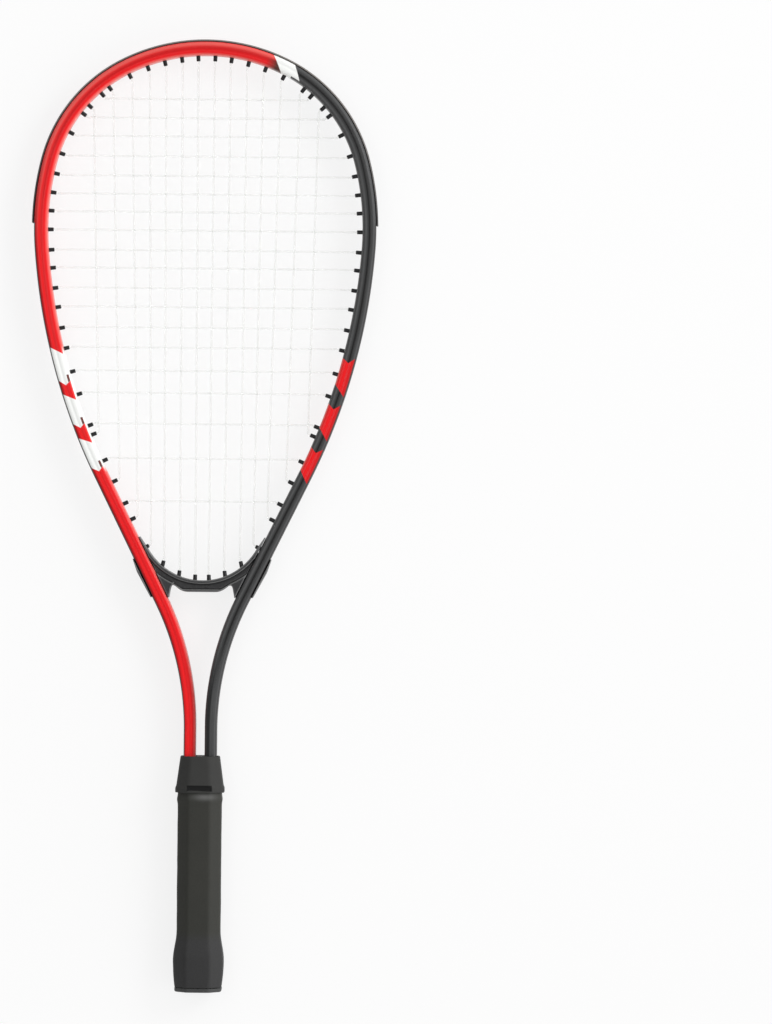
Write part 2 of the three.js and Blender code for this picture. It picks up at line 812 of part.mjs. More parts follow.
function handleShell(side) {
  const block = shellPocket(shellTop, shellEnd, 0);
  const far = shellRing.width + cutOverrun;
  const parting = fitGap / 2;
  const deep = shellRing.depth + cutOverrun;
  const otherHalf = side > 0
    ? box(-far, far, shellEnd - cutOverrun, shellTop + cutOverrun, -deep, parting)
    : box(-far, far, shellEnd - cutOverrun, shellTop + cutOverrun, -parting, deep);
  const channels = [-1, 1].map((way) =>
    legChannel(way, ribWidth / 2, shellRing.width - legChannelWall, legEnd - fitGap));
  return cut(block, [solidOf(otherHalf), ...channels, ...pinCuts, ...screwCuts, ...tackCuts]);
}

function gripCollar() {
  const skirt = { width: collarSkirtWidth / 2, depth: collarSkirtDepth / 2 };
  const outer = loft([
    { level: collarTop, width: collarTopWidth / 2, depth: collarTopDepth / 2 },
    { level: collarEnd + collarSkirtLength, ...skirt },
    { level: collarEnd, ...skirt },
  ]);
  const wrapSize = gripRing(0, 0, -fitGap);
  const lipPocket = loft([
    { ...wrapSize, level: wrapTop + collarLipRoom },
    { ...wrapSize, level: collarEnd - cutOverrun },
  ]);
  const legInner = (legSpacing - legWidth) / 2;
  const legCuts = [-1, 1].map((side) =>
    legChannel(side, legInner - fitGap, legOuter + fitGap, collarEnd));
  return cut(outer, [shellPocket(collarPocketTop, collarEnd, fitGap), lipPocket, ...legCuts]);
}

function buttCap() {
  const inset = wrapWall + fitGap;
  const skirt = gripStages.slice(2).map(([level, swell]) => gripRing(level, swell, inset));
  const flange = gripRing(wrapEnd - fitGap, buttEndShare, 0);
  const face = gripRing(buttLevel, buttEndShare, buttChamfer);
  const body = loft([
    ...skirt,
    { ...skirt[skirt.length - 1], level: flange.level },
    flange,
    { ...flange, level: buttLevel + buttChamfer },
    face,
  ]);
  return cut(body, [shellPocket(flareLevel, shellEnd - fitGap, fitGap), ...tackCuts]);
}

// Finishes
function finish(color, roughness, metalness) {
  return new THREE.MeshStandardMaterial({ color, roughness, metalness });
}

const redPaint = finish(0xe02424, 0.32, 0.35);
const blackPlastic = finish(0x2b2c2d, 0.5, 0);
const blackRubber = finish(0x353636, 0.75, 0);
const gripSkin = finish(0x3a3b3a, 0.8, 0);
const clearNylon = finish(0xf0f2ee, 0.25, 0);
const palePlastic = finish(0x8a8c8e, 0.6, 0);
const plainSteel = finish(0xb4b6b8, 0.3, 1);

const racket = new THREE.Group();
racket.position.z = buttDepth / 2;

function place(name, geometry, material) {
  const mesh = new THREE.Mesh(geometry, material);
  mesh.name = name;
  racket.add(mesh);
}

place('frame_tube', geometryOf(frameTube()), redPaint);
place('throat_bridge', geometryOf(throatBridge()), blackPlastic);
place('head_bumper_strip', geometryOf(headBumperStrip()), blackPlastic);
place('left_grommet_strip', geometryOf(sideStrip(-1)), blackPlastic);
place('right_grommet_strip', geometryOf(sideStrip(1)), blackPlastic);
place('bridge_grommet_strip', geometryOf(bridgeGrommetStrip()), blackPlastic);
place('main_string', stringGeometry(mainRuns, stringLevel), clearNylon);
place('cross_string', stringGeometry(crossRuns, -stringLevel), clearNylon);
place('grip_collar', geometryOf(gripCollar()), blackRubber);
place('grip_wrap', geometryOf(gripWrap()), gripSkin);
place('handle_shell_front', geometryOf(handleShell(1)), palePlastic);
place('handle_shell_back', geometryOf(handleShell(-1)), palePlastic);
['upper', 'lower'].forEach((where, i) => {
  place(`leg_pin_${where}`, legPinRods(pinDiameter, 0)[i], plainSteel);
});
['upper', 'middle', 'lower'].forEach((where, i) => {
  place(`handle_screw_${where}`, screwGeometry(screwHeights[i], 0), plainSteel);
});
place('butt_cap', geometryOf(buttCap()), blackRubber);
place('butt_tack_left', tackGeometry(-1, 0), plainSteel);
place('butt_tack_right', tackGeometry(1, 0), plainSteel);

export default racket;
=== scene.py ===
import json
import math
from collections import namedtuple

import bmesh
import bpy
import numpy as np
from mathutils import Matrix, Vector, noise

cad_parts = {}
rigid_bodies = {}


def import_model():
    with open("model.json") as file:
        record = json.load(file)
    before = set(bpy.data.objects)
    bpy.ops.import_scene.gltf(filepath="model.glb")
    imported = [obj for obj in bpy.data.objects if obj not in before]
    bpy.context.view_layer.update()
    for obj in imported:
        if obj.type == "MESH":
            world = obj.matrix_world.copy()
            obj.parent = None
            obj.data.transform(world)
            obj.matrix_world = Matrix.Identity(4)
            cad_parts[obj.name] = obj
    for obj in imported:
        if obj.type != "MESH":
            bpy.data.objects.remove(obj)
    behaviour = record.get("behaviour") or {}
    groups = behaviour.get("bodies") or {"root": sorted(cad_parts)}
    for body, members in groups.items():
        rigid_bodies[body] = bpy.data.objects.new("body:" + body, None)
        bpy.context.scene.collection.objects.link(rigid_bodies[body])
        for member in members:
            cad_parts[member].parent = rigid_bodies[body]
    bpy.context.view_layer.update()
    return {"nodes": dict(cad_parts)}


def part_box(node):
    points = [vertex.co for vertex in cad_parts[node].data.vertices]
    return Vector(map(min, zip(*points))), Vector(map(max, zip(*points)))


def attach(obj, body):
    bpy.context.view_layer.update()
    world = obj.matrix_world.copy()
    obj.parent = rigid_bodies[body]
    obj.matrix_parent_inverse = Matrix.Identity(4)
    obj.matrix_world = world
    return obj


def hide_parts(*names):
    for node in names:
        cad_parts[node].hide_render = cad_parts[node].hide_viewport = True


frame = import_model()

# Places read from the frame
tube_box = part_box("frame_tube")
MIDDLE_LEVEL = (tube_box[0].z + tube_box[1].z) / 2
HEAD_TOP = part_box("head_bumper_strip")[1].y
BUTT_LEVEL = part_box("butt_cap")[0].y
LEG_END = tube_box[0].y

# Gaps, corners and moulded edges
FIT_GAP = 0.0003
CUT_OVERRUN = 0.002
SQUARE = ((-1, -1), (1, -1), (1, 1), (-1, 1))
CORNER_LIMIT_SHARE = 0.45
CORNER_STEPS = 4
CORNER_EASE = 0.3
MOULD_VOXEL = 0.00035
MOULD_SMOOTHING = 4

# Edges sharper than these, in degrees, stay sharp
FACET_ANGLE = 38
CAP_ANGLE = 40
SLEEVE_ANGLE = 50
ROUND_ANGLE = 60

# Frame line: bends from the crown down to the leg, each a radius and a turn
CROWN_BEND = (0.112, math.radians(27.4))
SHOULDER_BEND = (0.0917, math.radians(48.1))
SIDE_BEND = (0.170, math.radians(18.7))
CHEEK_BEND = (0.3884, math.radians(22))
THROAT_RADIUS = 0.1833
LEG_SPACING = 0.0132
LINE_STEP = 0.0005
SEARCH_SAMPLES = 4000

# Frame tube
TUBE_WIDTH = 0.0088
TUBE_DEPTH = 0.0135
TUBE_ROUNDNESS = 4.2
GROOVE_DEPTH = 0.003
GROOVE_WIDTH = 0.0054
GROOVE_CORNER = 0.0003
CREASE_DEPTH = 0.0003
CREASE_WIDTH = 0.0008
CREASE_PLACE_SHARE = 0.07
CREASE_FLATNESS = 4
LEG_WIDTH = 0.0078
TUBE_POINT_STEP = 0.00042
FINE_SAMPLES = 8000
TUBE_RING_STEP = 0.002

# Strings
STRING_DIAMETER = 0.0012
STRING_BEND = 0.0015
STRING_SIDES = 10
STRING_LEAST_TURN = math.radians(14)
STRING_CORNER_STEPS = 5
WEAVE_LIFT = 0.00061
WEAVE_STEPS = 6
MAIN_TOP_SHARES = (0.048, 0.14, 0.236, 0.332, 0.434, 0.546, 0.657)
MAIN_FRAME_SHARES = (0.299, 0.379, 0.487, 0.612)
MAIN_BRIDGE_SHARES = (0.039, 0.129, 0.221)
CROSS_LEVEL_SHARES = (
    0.11, 0.145, 0.179, 0.216, 0.252, 0.286, 0.319, 0.353, 0.39, 0.423,
    0.46, 0.495, 0.533, 0.57, 0.613, 0.654, 0.711, 0.775, 0.854)

# Grommet strips
STRIP_THICKNESS = 0.0007
BARREL_DIAMETER = 0.0028
BARREL_TAPER = 0.00015
BARREL_BORE = 0.0021
BARREL_MOUTH = 0.0016
BARREL_ROUND = 0.0003
BARREL_PROUD = 0.0034
BARREL_SIDES = 20
LOOP_LIFT = 0.0011
BUMPER_PROUD = 0.0012
BUMPER_WIDTH = 0.010
STRIP_WALL = 0.0006
STRIP_ROUND = 0.00022
BUMPER_END_LEVEL = 0.1835
SCUFF_FADE_START = 0.09
SCUFF_FADE_END = 0.19
SIDE_STRIP_END_LEVEL = -0.028
STRIP_RING_STEP = 0.0025

# Throat bridge
BRIDGE_CREST_LEVEL = -0.0409
BRIDGE_CREST_RADIUS = 0.0395
BRIDGE_ARM_TURN = math.radians(61)
BRIDGE_TILT_SHARE = 0.35
YOKE_THICKNESS = 0.0073
YOKE_DEPTH = 0.0118
YOKE_FLAT_WIDTH = 0.0242
YOKE_CORNER = 0.0035
YOKE_CORNER_STEPS = 6
YOKE_FLOOR = 0.0037
YOKE_UPPER_RIM = 0.0022
YOKE_LOWER_RIM = 0.0017
YOKE_WEB_RECESS = 0.0023
YOKE_WEB_TURN = math.radians(52)
YOKE_FLOOR_TURN = math.radians(24)
GUSSET_RECESS = 0.0042
GUSSET_START_TURN = math.radians(30)
GUSSET_END_TURN = math.radians(47)
CREST_STEPS = 40
WEB_SIDE_STEPS = 16
WEB_TOP_STEPS = 50
GUSSET_STEPS = 10
NOTCH_REACH = 0.019
NOTCH_RISE = 0.0056
CHANNEL_TURN = math.radians(41)
ARM_TIP_RISE = 0.0252
ARM_TIP_WALL = 0.0008
SADDLE_TOP_RISE = 0.0155
SADDLE_LUG_RISE = 0.0076
SADDLE_END_DROP = 0.011
SADDLE_WALL = 0.0015
SADDLE_TIP_WALL = 0.0003
SADDLE_FRONT_SETBACK = 0.001
LIP_START = 0.0003
LIP_THIN = 0.0006
LIP_THICK = 0.0014

# Grip, butt and collar: heights are above the butt's end, sizes are a width and a depth
GRIP_SIZE = np.array([0.0278, 0.024])
BUTT_SIZE = np.array([0.032, 0.028])
BEVEL_SHARE = 0.5
GRIP_ROUND = 0.0017
OCTAGON_CORNER_STEPS = 7
WRAP_WALL = 0.0018
WRAP_LIP_SHARE = 0.2
WRAP_TOP_HEIGHT = 0.128
FLARE_HEIGHT = 0.038
SWELL_HEIGHT = 0.0195
WRAP_END_HEIGHT = 0.0028
BUTT_END_SHARE = 0.45
BUTT_END_POWER = 1.8
BUTT_CHAMFER = 0.0012
FLANGE_LIP_SHARE = 0.12
CAP_RINGS = 14
FLANGE_RINGS = 3
CHAMFER_RINGS = 7
WRAP_RING_STEP = 0.0009
WRAP_INNER_RINGS = 30
WRAP_WAVE = 0.00013
WRAP_WAVE_SIZE = 0.014
RIPPLE_SHARE = 0.4
RIPPLES_TO_A_WAVE = 3
TUCK_ROLL = 0.0005
TUCK_ROLL_HEIGHT = 0.1212
TUCK_ROLL_LENGTH = 0.0022
FLARE_TONE_BLUR = 0.006
# Painted highlight patch on the sleeve under the collar's slot
HIGHLIGHT_PATCH_PLACE = 0.0032
HIGHLIGHT_PATCH_HEIGHT = 0.1231
HIGHLIGHT_PATCH_REACH = 0.0062
HIGHLIGHT_PATCH_TALL = 0.0020
COLLAR_TOP_HEIGHT = 0.1484
COLLAR_WAIST_HEIGHT = 0.1303
COLLAR_SKIRT_HEIGHT = 0.1284
COLLAR_END_HEIGHT = 0.1255
COLLAR_TOP_SIZE = np.array([0.0247, 0.021])
COLLAR_WAIST_SIZE = np.array([0.0295, 0.0262])
COLLAR_SKIRT_SIZE = np.array([0.0309, 0.027])
COLLAR_ROOF = 0.006
COLLAR_LIP = 0.0028
COLLAR_ROUND = 0.0022
LEG_CHANNEL_CHAMFER = 0.0018
SLOT_HEIGHT = 0.1284
SLOT_WIDTH = 0.0158
SLOT_TALL = 0.0032
SLOT_SLANT = 0.0003
SLOT_DEEP = 0.0008
SHELL_END_HEIGHT = 0.006

# Paint: distances from the crown along the tube. A slant or a vee is how far an edge moves along
# the tube between its middle and its side. Shares are across the tube, outward from its middle.
RED_END = 0.0460
RED_END_SLANT = 0.0045
BLACK_START = 0.0604
BLACK_START_SLANT = 0.0047
LEFT_STRIPE_EDGES = (0.2525, 0.2749, 0.2829, 0.3033, 0.3120, 0.3330)
RIGHT_STRIPE_EDGES = (0.2588, 0.2772, 0.2893, 0.3067, 0.3190, 0.3362)
ARROW_OUTER_VEE = 0.0048
ARROW_INNER_VEE = 0.0025
ARROW_SLANT = 0.0036
PAINT_BLUR = 0.0005
TIP_BROWN_LENGTH = 0.007
TIP_BROWN_SHARE = 0.3
PRONG_LENGTH = 0.0062
PRONG_PLACE_SHARE = -0.62
PRONG_WIDTH_SHARE = 0.17
PRONG_LEVEL = 0.4
BLACK_PRONG_START = 0.0575
BLACK_PRONG_PLACE_SHARE = -0.9
HIGHLIT_EDGE_SHARE = -0.8
PALE_EDGE_BLUR = 0.005
SHADE_BLUR_SHARE = 0.35
EDGE_SHADE_SHARE = 0.78
EDGE_SHADE_BLUR_SHARE = 0.1
CROWN_TONE_END = 0.15
CROWN_TONE_BLUR = 0.08
LEG_TONE_BLUR = 0.04
LOBE_PLACE_SHARE = 0.62
OUTER_SHADE_SHARE = 0.55
INNER_SHADE_SHARE = -0.42
LINE_WIDTH_SHARE = 0.3

# Photograph: the racket's middle and scale in its frame, and the racket's lean there
PHOTO_WIDTH = 772
PHOTO_HEIGHT = 1024
RACKET_PIXEL = (202.6, 515.5)
RACKET_PIXEL_LENGTH = 951.0
RACKET_LEAN = math.radians(0.55)
CAMERA_DISTANCE = 3.0
SENSOR_SIZE = 36.0
SKY_LEAN = 0.72

# Lengths and levels worked out from the sizes above
HALF_TUBE = TUBE_WIDTH / 2
HALF_DEPTH = TUBE_DEPTH / 2
GROOVE_FLOOR = HALF_TUBE - GROOVE_DEPTH
STRIP_INNER = GROOVE_FLOOR + FIT_GAP
STRIP_OUTER = STRIP_INNER + STRIP_THICKNESS
HALF_BAND = GROOVE_WIDTH / 2 - FIT_GAP
STRING_LEVEL = (STRING_DIAMETER + FIT_GAP) / 2
CROWN_LEVEL = HEAD_TOP - BUMPER_PROUD - HALF_TUBE
SEAT_REACH = HALF_TUBE + FIT_GAP
BRIDGE_CENTRE_LEVEL = BRIDGE_CREST_LEVEL + BRIDGE_CREST_RADIUS
SADDLE_END_LEVEL = BRIDGE_CREST_LEVEL - SADDLE_END_DROP


def walk(place, heading, curvature, length):
    """Samples along an arc or a straight from a place: distance, x, y and heading."""
    past = np.linspace(0, length, max(2, math.ceil(length / LINE_STEP)))
    headings = heading + curvature * past
    if curvature:
        x = place[0] + (np.sin(headings) - math.sin(heading)) / curvature
        y = place[1] + (np.cos(headings) - math.cos(heading)) / curvature
    else:
        x = place[0] + past * math.cos(heading)
        y = place[1] - past * math.sin(heading)
    return np.column_stack([past, x, y, headings])


def lay_frame_line():
    """The right half of the tube's middle line, sampled, and where its throat bend starts and ends."""
    samples = [np.array([[0.0, 0.0, CROWN_LEVEL, 0.0]])]

    def extend(curvature, length):
        start, x, y, heading = samples[-1][-1]
        run = walk((x, y), heading, curvature, length)
        run[:, 0] += start
        samples.append(run[1:])

    for radius, turn in (CROWN_BEND, SHOULDER_BEND, SIDE_BEND, CHEEK_BEND):
        extend(1 / radius, radius * turn)
    _, x, _, heading = samples[-1][-1]
    lean = heading - math.pi / 2
    inset = x - LEG_SPACING / 2 - THROAT_RADIUS * (1 - math.cos(lean))
    extend(0, inset / math.sin(lean))
    throat_start = samples[-1][-1][0]
    extend(-1 / THROAT_RADIUS, THROAT_RADIUS * lean)
    throat_end = samples[-1][-1][0]
    extend(0, samples[-1][-1][2] - LEG_END)
    return np.vstack(samples), throat_start, throat_end


FRAME_LINE, THROAT_START, THROAT_END = lay_frame_line()
FRAME_REACH = FRAME_LINE[-1, 0]


def frame_at(distances):
    """Places on the tube's line, the outward ways and the width shares there; left where negative."""
    distances = np.asarray(distances, float)
    side = np.where(distances < 0, -1.0, 1.0)
    walked = np.abs(distances)
    x, y, heading = (np.interp(walked, FRAME_LINE[:, 0], FRAME_LINE[:, k]) for k in (1, 2, 3))
    narrowing = np.clip((walked - THROAT_START) / (THROAT_END - THROAT_START), 0, 1)
    share = 1 + narrowing * (LEG_WIDTH / TUBE_WIDTH - 1)
    place = np.stack([side * x, y], axis=-1)
    out = np.stack([side * np.sin(heading), np.cos(heading)], axis=-1)
    return place, out, share


def beside(distances, offset):
    """Points beside the tube's line, at an outward offset that narrows with the tube."""
    place, out, share = frame_at(distances)
    return place + out * (offset * share)[..., None]


def crest_points(turns, depth):
    """Points below the bridge's crest arc, at a depth under it."""
    turns = np.asarray(turns, float)
    radius = BRIDGE_CREST_RADIUS + depth
    return np.stack([radius * np.sin(turns), BRIDGE_CENTRE_LEVEL - radius * np.cos(turns)], axis=-1)


def inverse(measure, low, high, targets):
    """The arguments at which a steady measure reaches each target."""
    arguments = np.linspace(low, high, SEARCH_SAMPLES)
    values = measure(arguments)
    order = np.argsort(values)
    return np.interp(targets, values[order], arguments[order])


def distance_at_level(level, offset=0.0):
    """Where the tube's line, or a line beside it, comes down to a level."""
    return float(inverse(lambda distances: beside(distances, offset)[:, 1], 0, FRAME_REACH, level))


# String holes
Hole = namedtuple("Hole", "at on_bridge foot tip inside outside")


def frame_hole(distance):
    """A hole through the tube, with its barrel's ends and the string's two turns."""
    return Hole(
        distance, False,
        beside(distance, STRIP_OUTER - STRIP_THICKNESS / 2),
        beside(distance, -HALF_TUBE - BARREL_PROUD),
        beside(distance, -HALF_TUBE - BARREL_PROUD - STRING_BEND),
        beside(distance, STRIP_OUTER + LOOP_LIFT))


def bridge_axis(turns):
    tilt = np.asarray(turns, float) * BRIDGE_TILT_SHARE
    return np.stack([-np.sin(tilt), np.cos(tilt)], axis=-1)


def bridge_hole(turn):
    """A hole through the bridge. Its barrel leans less than the bridge's arc does."""
    axis = bridge_axis(turn)
    slant = np.cos(turn * (1 - BRIDGE_TILT_SHARE))[..., None]
    crest = crest_points(turn, 0)
    floor = YOKE_FLOOR + FIT_GAP
    return Hole(
        turn, True,
        crest - axis * (floor + STRIP_THICKNESS / 2) / slant,
        crest + axis * BARREL_PROUD,
        crest + axis * (BARREL_PROUD + STRING_BEND),
        crest - axis * (floor + STRIP_THICKNESS + LOOP_LIFT) / slant)


def mirrored(hole):
    flip = np.array([-1.0, 1.0])
    points = (hole.foot * flip, hole.tip * flip, hole.inside * flip, hole.outside * flip)
    return Hole(-hole.at, hole.on_bridge, *points)


WIDEST = float(np.interp(math.pi / 2, FRAME_LINE[:, 3], FRAME_LINE[:, 0]))
HEAD_HALF_WIDTH = FRAME_LINE[:, 1].max() + HALF_TUBE


def string_runs():
    """Mains from left to right and crosses from the crown down, each as its two holes."""
    def holes(hole_at, axis, low, high, targets):
        """Holes whose strings turn at the targets, inside the head."""
        found = inverse(lambda places: hole_at(places).inside[:, axis], low, high, targets)
        return [hole_at(place) for place in found]

    top_x, low_x, bridge_x = (
        np.array(shares) * HEAD_HALF_WIDTH
        for shares in (MAIN_TOP_SHARES, MAIN_FRAME_SHARES, MAIN_BRIDGE_SHARES))
    levels = HEAD_TOP - np.array(CROSS_LEVEL_SHARES) * (HEAD_TOP - BRIDGE_CREST_LEVEL)
    upper = holes(frame_hole, 0, 0, WIDEST, top_x)
    lower = holes(bridge_hole, 0, 0, BRIDGE_ARM_TURN, bridge_x)
    lower += holes(frame_hole, 0, WIDEST, THROAT_START, low_x)
    right = list(zip(upper, lower))
    left = [(mirrored(first), mirrored(second)) for first, second in reversed(right)]
    crosses = [(mirrored(hole), hole) for hole in holes(frame_hole, 1, 0, THROAT_START, levels)]
    return left + right, crosses


MAIN_RUNS, CROSS_RUNS = string_runs()
LEVELLED_HOLES = [(hole, STRING_LEVEL) for run in MAIN_RUNS for hole in run]
LEVELLED_HOLES += [(hole, -STRING_LEVEL) for run in CROSS_RUNS for hole in run]


# Meshes
class Shells:
    """Closed shells gathered into one mesh. Each is a run of rings of points, with named notes on them."""

    def __init__(self):
        self.points = []
        self.faces = []
        self.notes = {}

    def add(self, rings, looped=False, **notes):
        rings = np.asarray(rings, float)
        count, size = rings.shape[:2]
        start = sum(len(block) for block in self.points)
        self.points.append(rings.reshape(-1, 3))
        for name, values in notes.items():
            spread = np.broadcast_to(values, (count, size)).reshape(-1)
            self.notes.setdefault(name, []).append(spread)
        index = start + np.arange(count * size).reshape(count, size)
        lower = index if looped else index[:-1]
        upper = np.roll(index, -1, axis=0) if looped else index[1:]
        quads = np.stack([lower, np.roll(lower, -1, axis=1), np.roll(upper, -1, axis=1), upper], axis=-1)
        self.faces.extend(quads.reshape(-1, 4).tolist())
        if not looped:
            self.faces.append(index[0][::-1].tolist())
            self.faces.append(index[-1].tolist())
        return self

    def mesh(self, name):
        made = bpy.data.meshes.new(name)
        made.from_pydata(np.vstack(self.points).tolist(), [], self.faces)
        for note, blocks in self.notes.items():
            attribute = made.attributes.new(note, "FLOAT", "POINT")
            attribute.data.foreach_set("value", np.concatenate(blocks).astype(np.float32))
        fix_normals(made)
        return made


def fix_normals(mesh):
    """Turns every face outward, shell by shell."""
    work = bmesh.new()
    work.from_mesh(mesh)
    bmesh.ops.recalc_face_normals(work, faces=work.faces)
    work.to_mesh(mesh)
    work.free()


def lifted(points, level):
    """Points of the middle plane, lifted to a level over it."""
    points = np.asarray(points, float)
    levels = np.broadcast_to(np.asarray(level, float) + MIDDLE_LEVEL, points.shape[:-1])
    return np.concatenate([points, levels[..., None]], axis=-1)


def turned(before, corner, after, radius, steps):
    """The short curve that rounds a corner."""
    arrive, depart = before - corner, after - corner
    lengths = np.linalg.norm(arrive), np.linalg.norm(depart)
    reach = min(radius, CORNER_LIMIT_SHARE * min(lengths))
    start, end = corner + arrive / lengths[0] * reach, corner + depart / lengths[1] * reach
    return [(1 - t) ** 2 * start + 2 * t * (1 - t) * corner + t * t * end for t in np.linspace(0, 1, steps)]


def fillet(points, radius, steps=CORNER_STEPS):
    """A closed outline with each corner rounded by a short curve."""
    points = np.asarray(points, float)
    rounded = []
    for before, corner, after in zip(np.roll(points, 1, axis=0), points, np.roll(points, -1, axis=0)):
        rounded += turned(before, corner, after, radius, steps)
    return np.array(rounded)


def above_and_below(points):
    """Points on one side of an outline's middle line, then their mirror images, last first."""
    points = np.asarray(points, float)
    return np.vstack([points, points[::-1] * [1, -1]])


def eased(share):
    return share * share * (3 - 2 * share)


def along_frame(start, end, step):
    return np.linspace(start, end, max(2, math.ceil(abs(end - start) / step)) + 1)


def swept(section, places, outs, shares=1):
    """Rings of a section of offsets and levels, each laid along an outward way at a place."""
    offsets = section[:, 0] * np.reshape(shares, (-1, 1))
    return lifted(places[:, None] + outs[:, None] * offsets[..., None], section[:, 1])


def frame_sweep(section, distances):
    """Rings of a section carried along the tube's line."""
    return swept(section, *frame_at(distances))


def prism(outline, low, high):
    """Two rings over an outline of the middle plane, for a slab between two levels."""
    return np.stack([lifted(outline, low), lifted(outline, high)])


def given(made, **properties):
    """A new thing with some of its properties set."""
    for key, value in properties.items():
        setattr(made, key, value)
    return made


def new_object(name, data, **properties):
    made = bpy.data.objects.new(name, data)
    bpy.context.scene.collection.objects.link(made)
    return given(made, **properties)


def coat(mesh, material):
    mesh.materials.clear()
    mesh.materials.append(material)


def piece(name, source, material, slot, *replaced, angle=FACET_ANGLE):
    """A finished piece of shells or of a mesh: shaded, coated, and riding in place of its nodes."""
    mesh = source.mesh(name) if isinstance(source, Shells) else source
    mesh.shade_smooth()
    mesh.set_sharp_from_angle(angle=math.radians(angle))
    coat(mesh, material)
    made = new_object(name, mesh)
    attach(made, "root")
    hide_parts(*replaced)
    return made


def moulded(name, blanks, tools):
    """Blanks joined and tools cut out, all runs of rings, with edges rounded as a mould rounds them."""
    body = new_object(name, Shells().add(blanks[0]).mesh(name))
    groups = []
    for operation, solids in (("UNION", blanks[1:]), ("DIFFERENCE", tools)):
        if not solids:
            continue
        group = bpy.data.collections.new(operation)
        for rings in solids:
            group.objects.link(bpy.data.objects.new(operation, Shells().add(rings).mesh(operation)))
        given(
            body.modifiers.new(operation, "BOOLEAN"),
            operation=operation, operand_type="COLLECTION", collection=group, solver="EXACT")
        groups.append(group)
    given(body.modifiers.new("remesh", "REMESH"), mode="VOXEL", voxel_size=MOULD_VOXEL)
    given(body.modifiers.new("relax", "SMOOTH"), factor=0.5, iterations=MOULD_SMOOTHING)
    graph = bpy.context.evaluated_depsgraph_get()
    mesh = bpy.data.meshes.new_from_object(body.evaluated_get(graph))
    bpy.data.objects.remove(body)
    for group in groups:
        for spare in list(group.objects):
            bpy.data.objects.remove(spare)
        bpy.data.collections.remove(group)
    return mesh


# Materials
def adds(operation):
    """A method that adds a math node to its field's recipe."""
    return lambda field, *others: field.recipe.math(operation, field, *others)


class Field:
    """A value that varies over a surface. Its arithmetic adds nodes to its recipe."""

    __abs__ = adds("ABSOLUTE")
    __add__ = adds("ADD")
    __sub__ = adds("SUBTRACT")
    __mul__ = adds("MULTIPLY")
    __truediv__ = adds("DIVIDE")
    __lt__ = adds("LESS_THAN")
    __gt__ = adds("GREATER_THAN")

    def __init__(self, recipe, socket):
        self.recipe = recipe
        self.socket = socket

    def __rsub__(self, other):
        return self.recipe.math("SUBTRACT", other, self)

    def held(self):
        """The value kept from 0 to 1."""
        return self.recipe.math("ADD", self, 0.0, clamp=True)


class Recipe:
    """A procedural material or sky: its node tree, its shader, and short calls that add nodes to it."""

    def __init__(self, owner, shader="Principled BSDF", **settings):
        owner.use_nodes = True
        self.owner = owner
        self.tree = owner.node_tree
        self.shader = self.tree.nodes[shader]
        for key, value in settings.items():
            self.shader.inputs[key.replace("_", " ")].default_value = value
        self.place = self.field("ShaderNodeTexCoord", "Object")

    def node(self, kind, inputs=None, **properties):
        made = given(self.tree.nodes.new(kind), **properties)
        for key, value in (inputs or {}).items():
            self.feed(made.inputs[key], value)
        return made

    def field(self, kind, output, inputs=None, **properties):
        return Field(self, self.node(kind, inputs, **properties).outputs[output])

    def feed(self, target, value):
        """Links a field, or sets a number or a colour."""
        if isinstance(value, Field):
            self.tree.links.new(value.socket, target)
        else:
            target.default_value = (*value, 1.0) if isinstance(value, tuple) else value

    def math(self, operation, *values, clamp=False):
        inputs = dict(enumerate(values))
        return self.field("ShaderNodeMath", 0, inputs, operation=operation, use_clamp=clamp)

    def either(self, first, second):
        return self.math("MAXIMUM", first, second)

    def bell(self, away):
        """1 where a field is 0, fading to both sides of it."""
        return self.math("EXPONENT", away * away * -1.0)

    def grain(self, size, detail=2.0):
        """Noise of a feature size in metres."""
        inputs = {"Vector": self.place, "Scale": 1 / size, "Detail": detail}
        return self.field("ShaderNodeTexNoise", "Fac", inputs)

    def spread(self, value, low, high):
        """A value of 0 to 1 spread between two others."""
        return self.field("ShaderNodeMapRange", "Result", {"Value": value, "To Min": low, "To Max": high})

    def blend(self, factor, first, second, mode="MIX"):
        inputs = {0: factor, 6: first, 7: second}
        return self.field("ShaderNodeMix", 2, inputs, data_type="RGBA", blend_type=mode)

    def mottled(self, cloud, look):
        return self.blend(cloud, look.dark, look.light)

    def split(self, vector):
        outputs = self.node("ShaderNodeSeparateXYZ", {0: vector}).outputs
        return [Field(self, outputs[axis]) for axis in "XYZ"]

    def surfaced(self, cloud, look, colour):
        """The look's bumps and roughness under a colour, finished."""
        self.bump(*look.bumps)
        return self.finish(colour, self.spread(cloud, *look.rough))

    def noted(self, name):
        return self.field("ShaderNodeAttribute", "Fac", attribute_name=name)

    def bump(self, *layers, detail=2.0):
        """Stacked bumps, each a feature size or a field, a strength and its full height in metres."""
        normal = None
        for height, strength, depth in layers:
            field = height if isinstance(height, Field) else self.grain(height, detail)
            inputs = {"Height": field, "Strength": strength, "Distance": depth}
            if normal is not None:
                inputs["Normal"] = normal
            normal = self.field("ShaderNodeBump", "Normal", inputs)
        self.feed(self.shader.inputs["Normal"], normal)

    def finish(self, colour, roughness):
        self.feed(self.shader.inputs["Base Color"], colour)
        self.feed(self.shader.inputs["Roughness"], roughness)
        return self.owner


def new_recipe(name, **settings):
    return Recipe(bpy.data.materials.new(name), **settings)


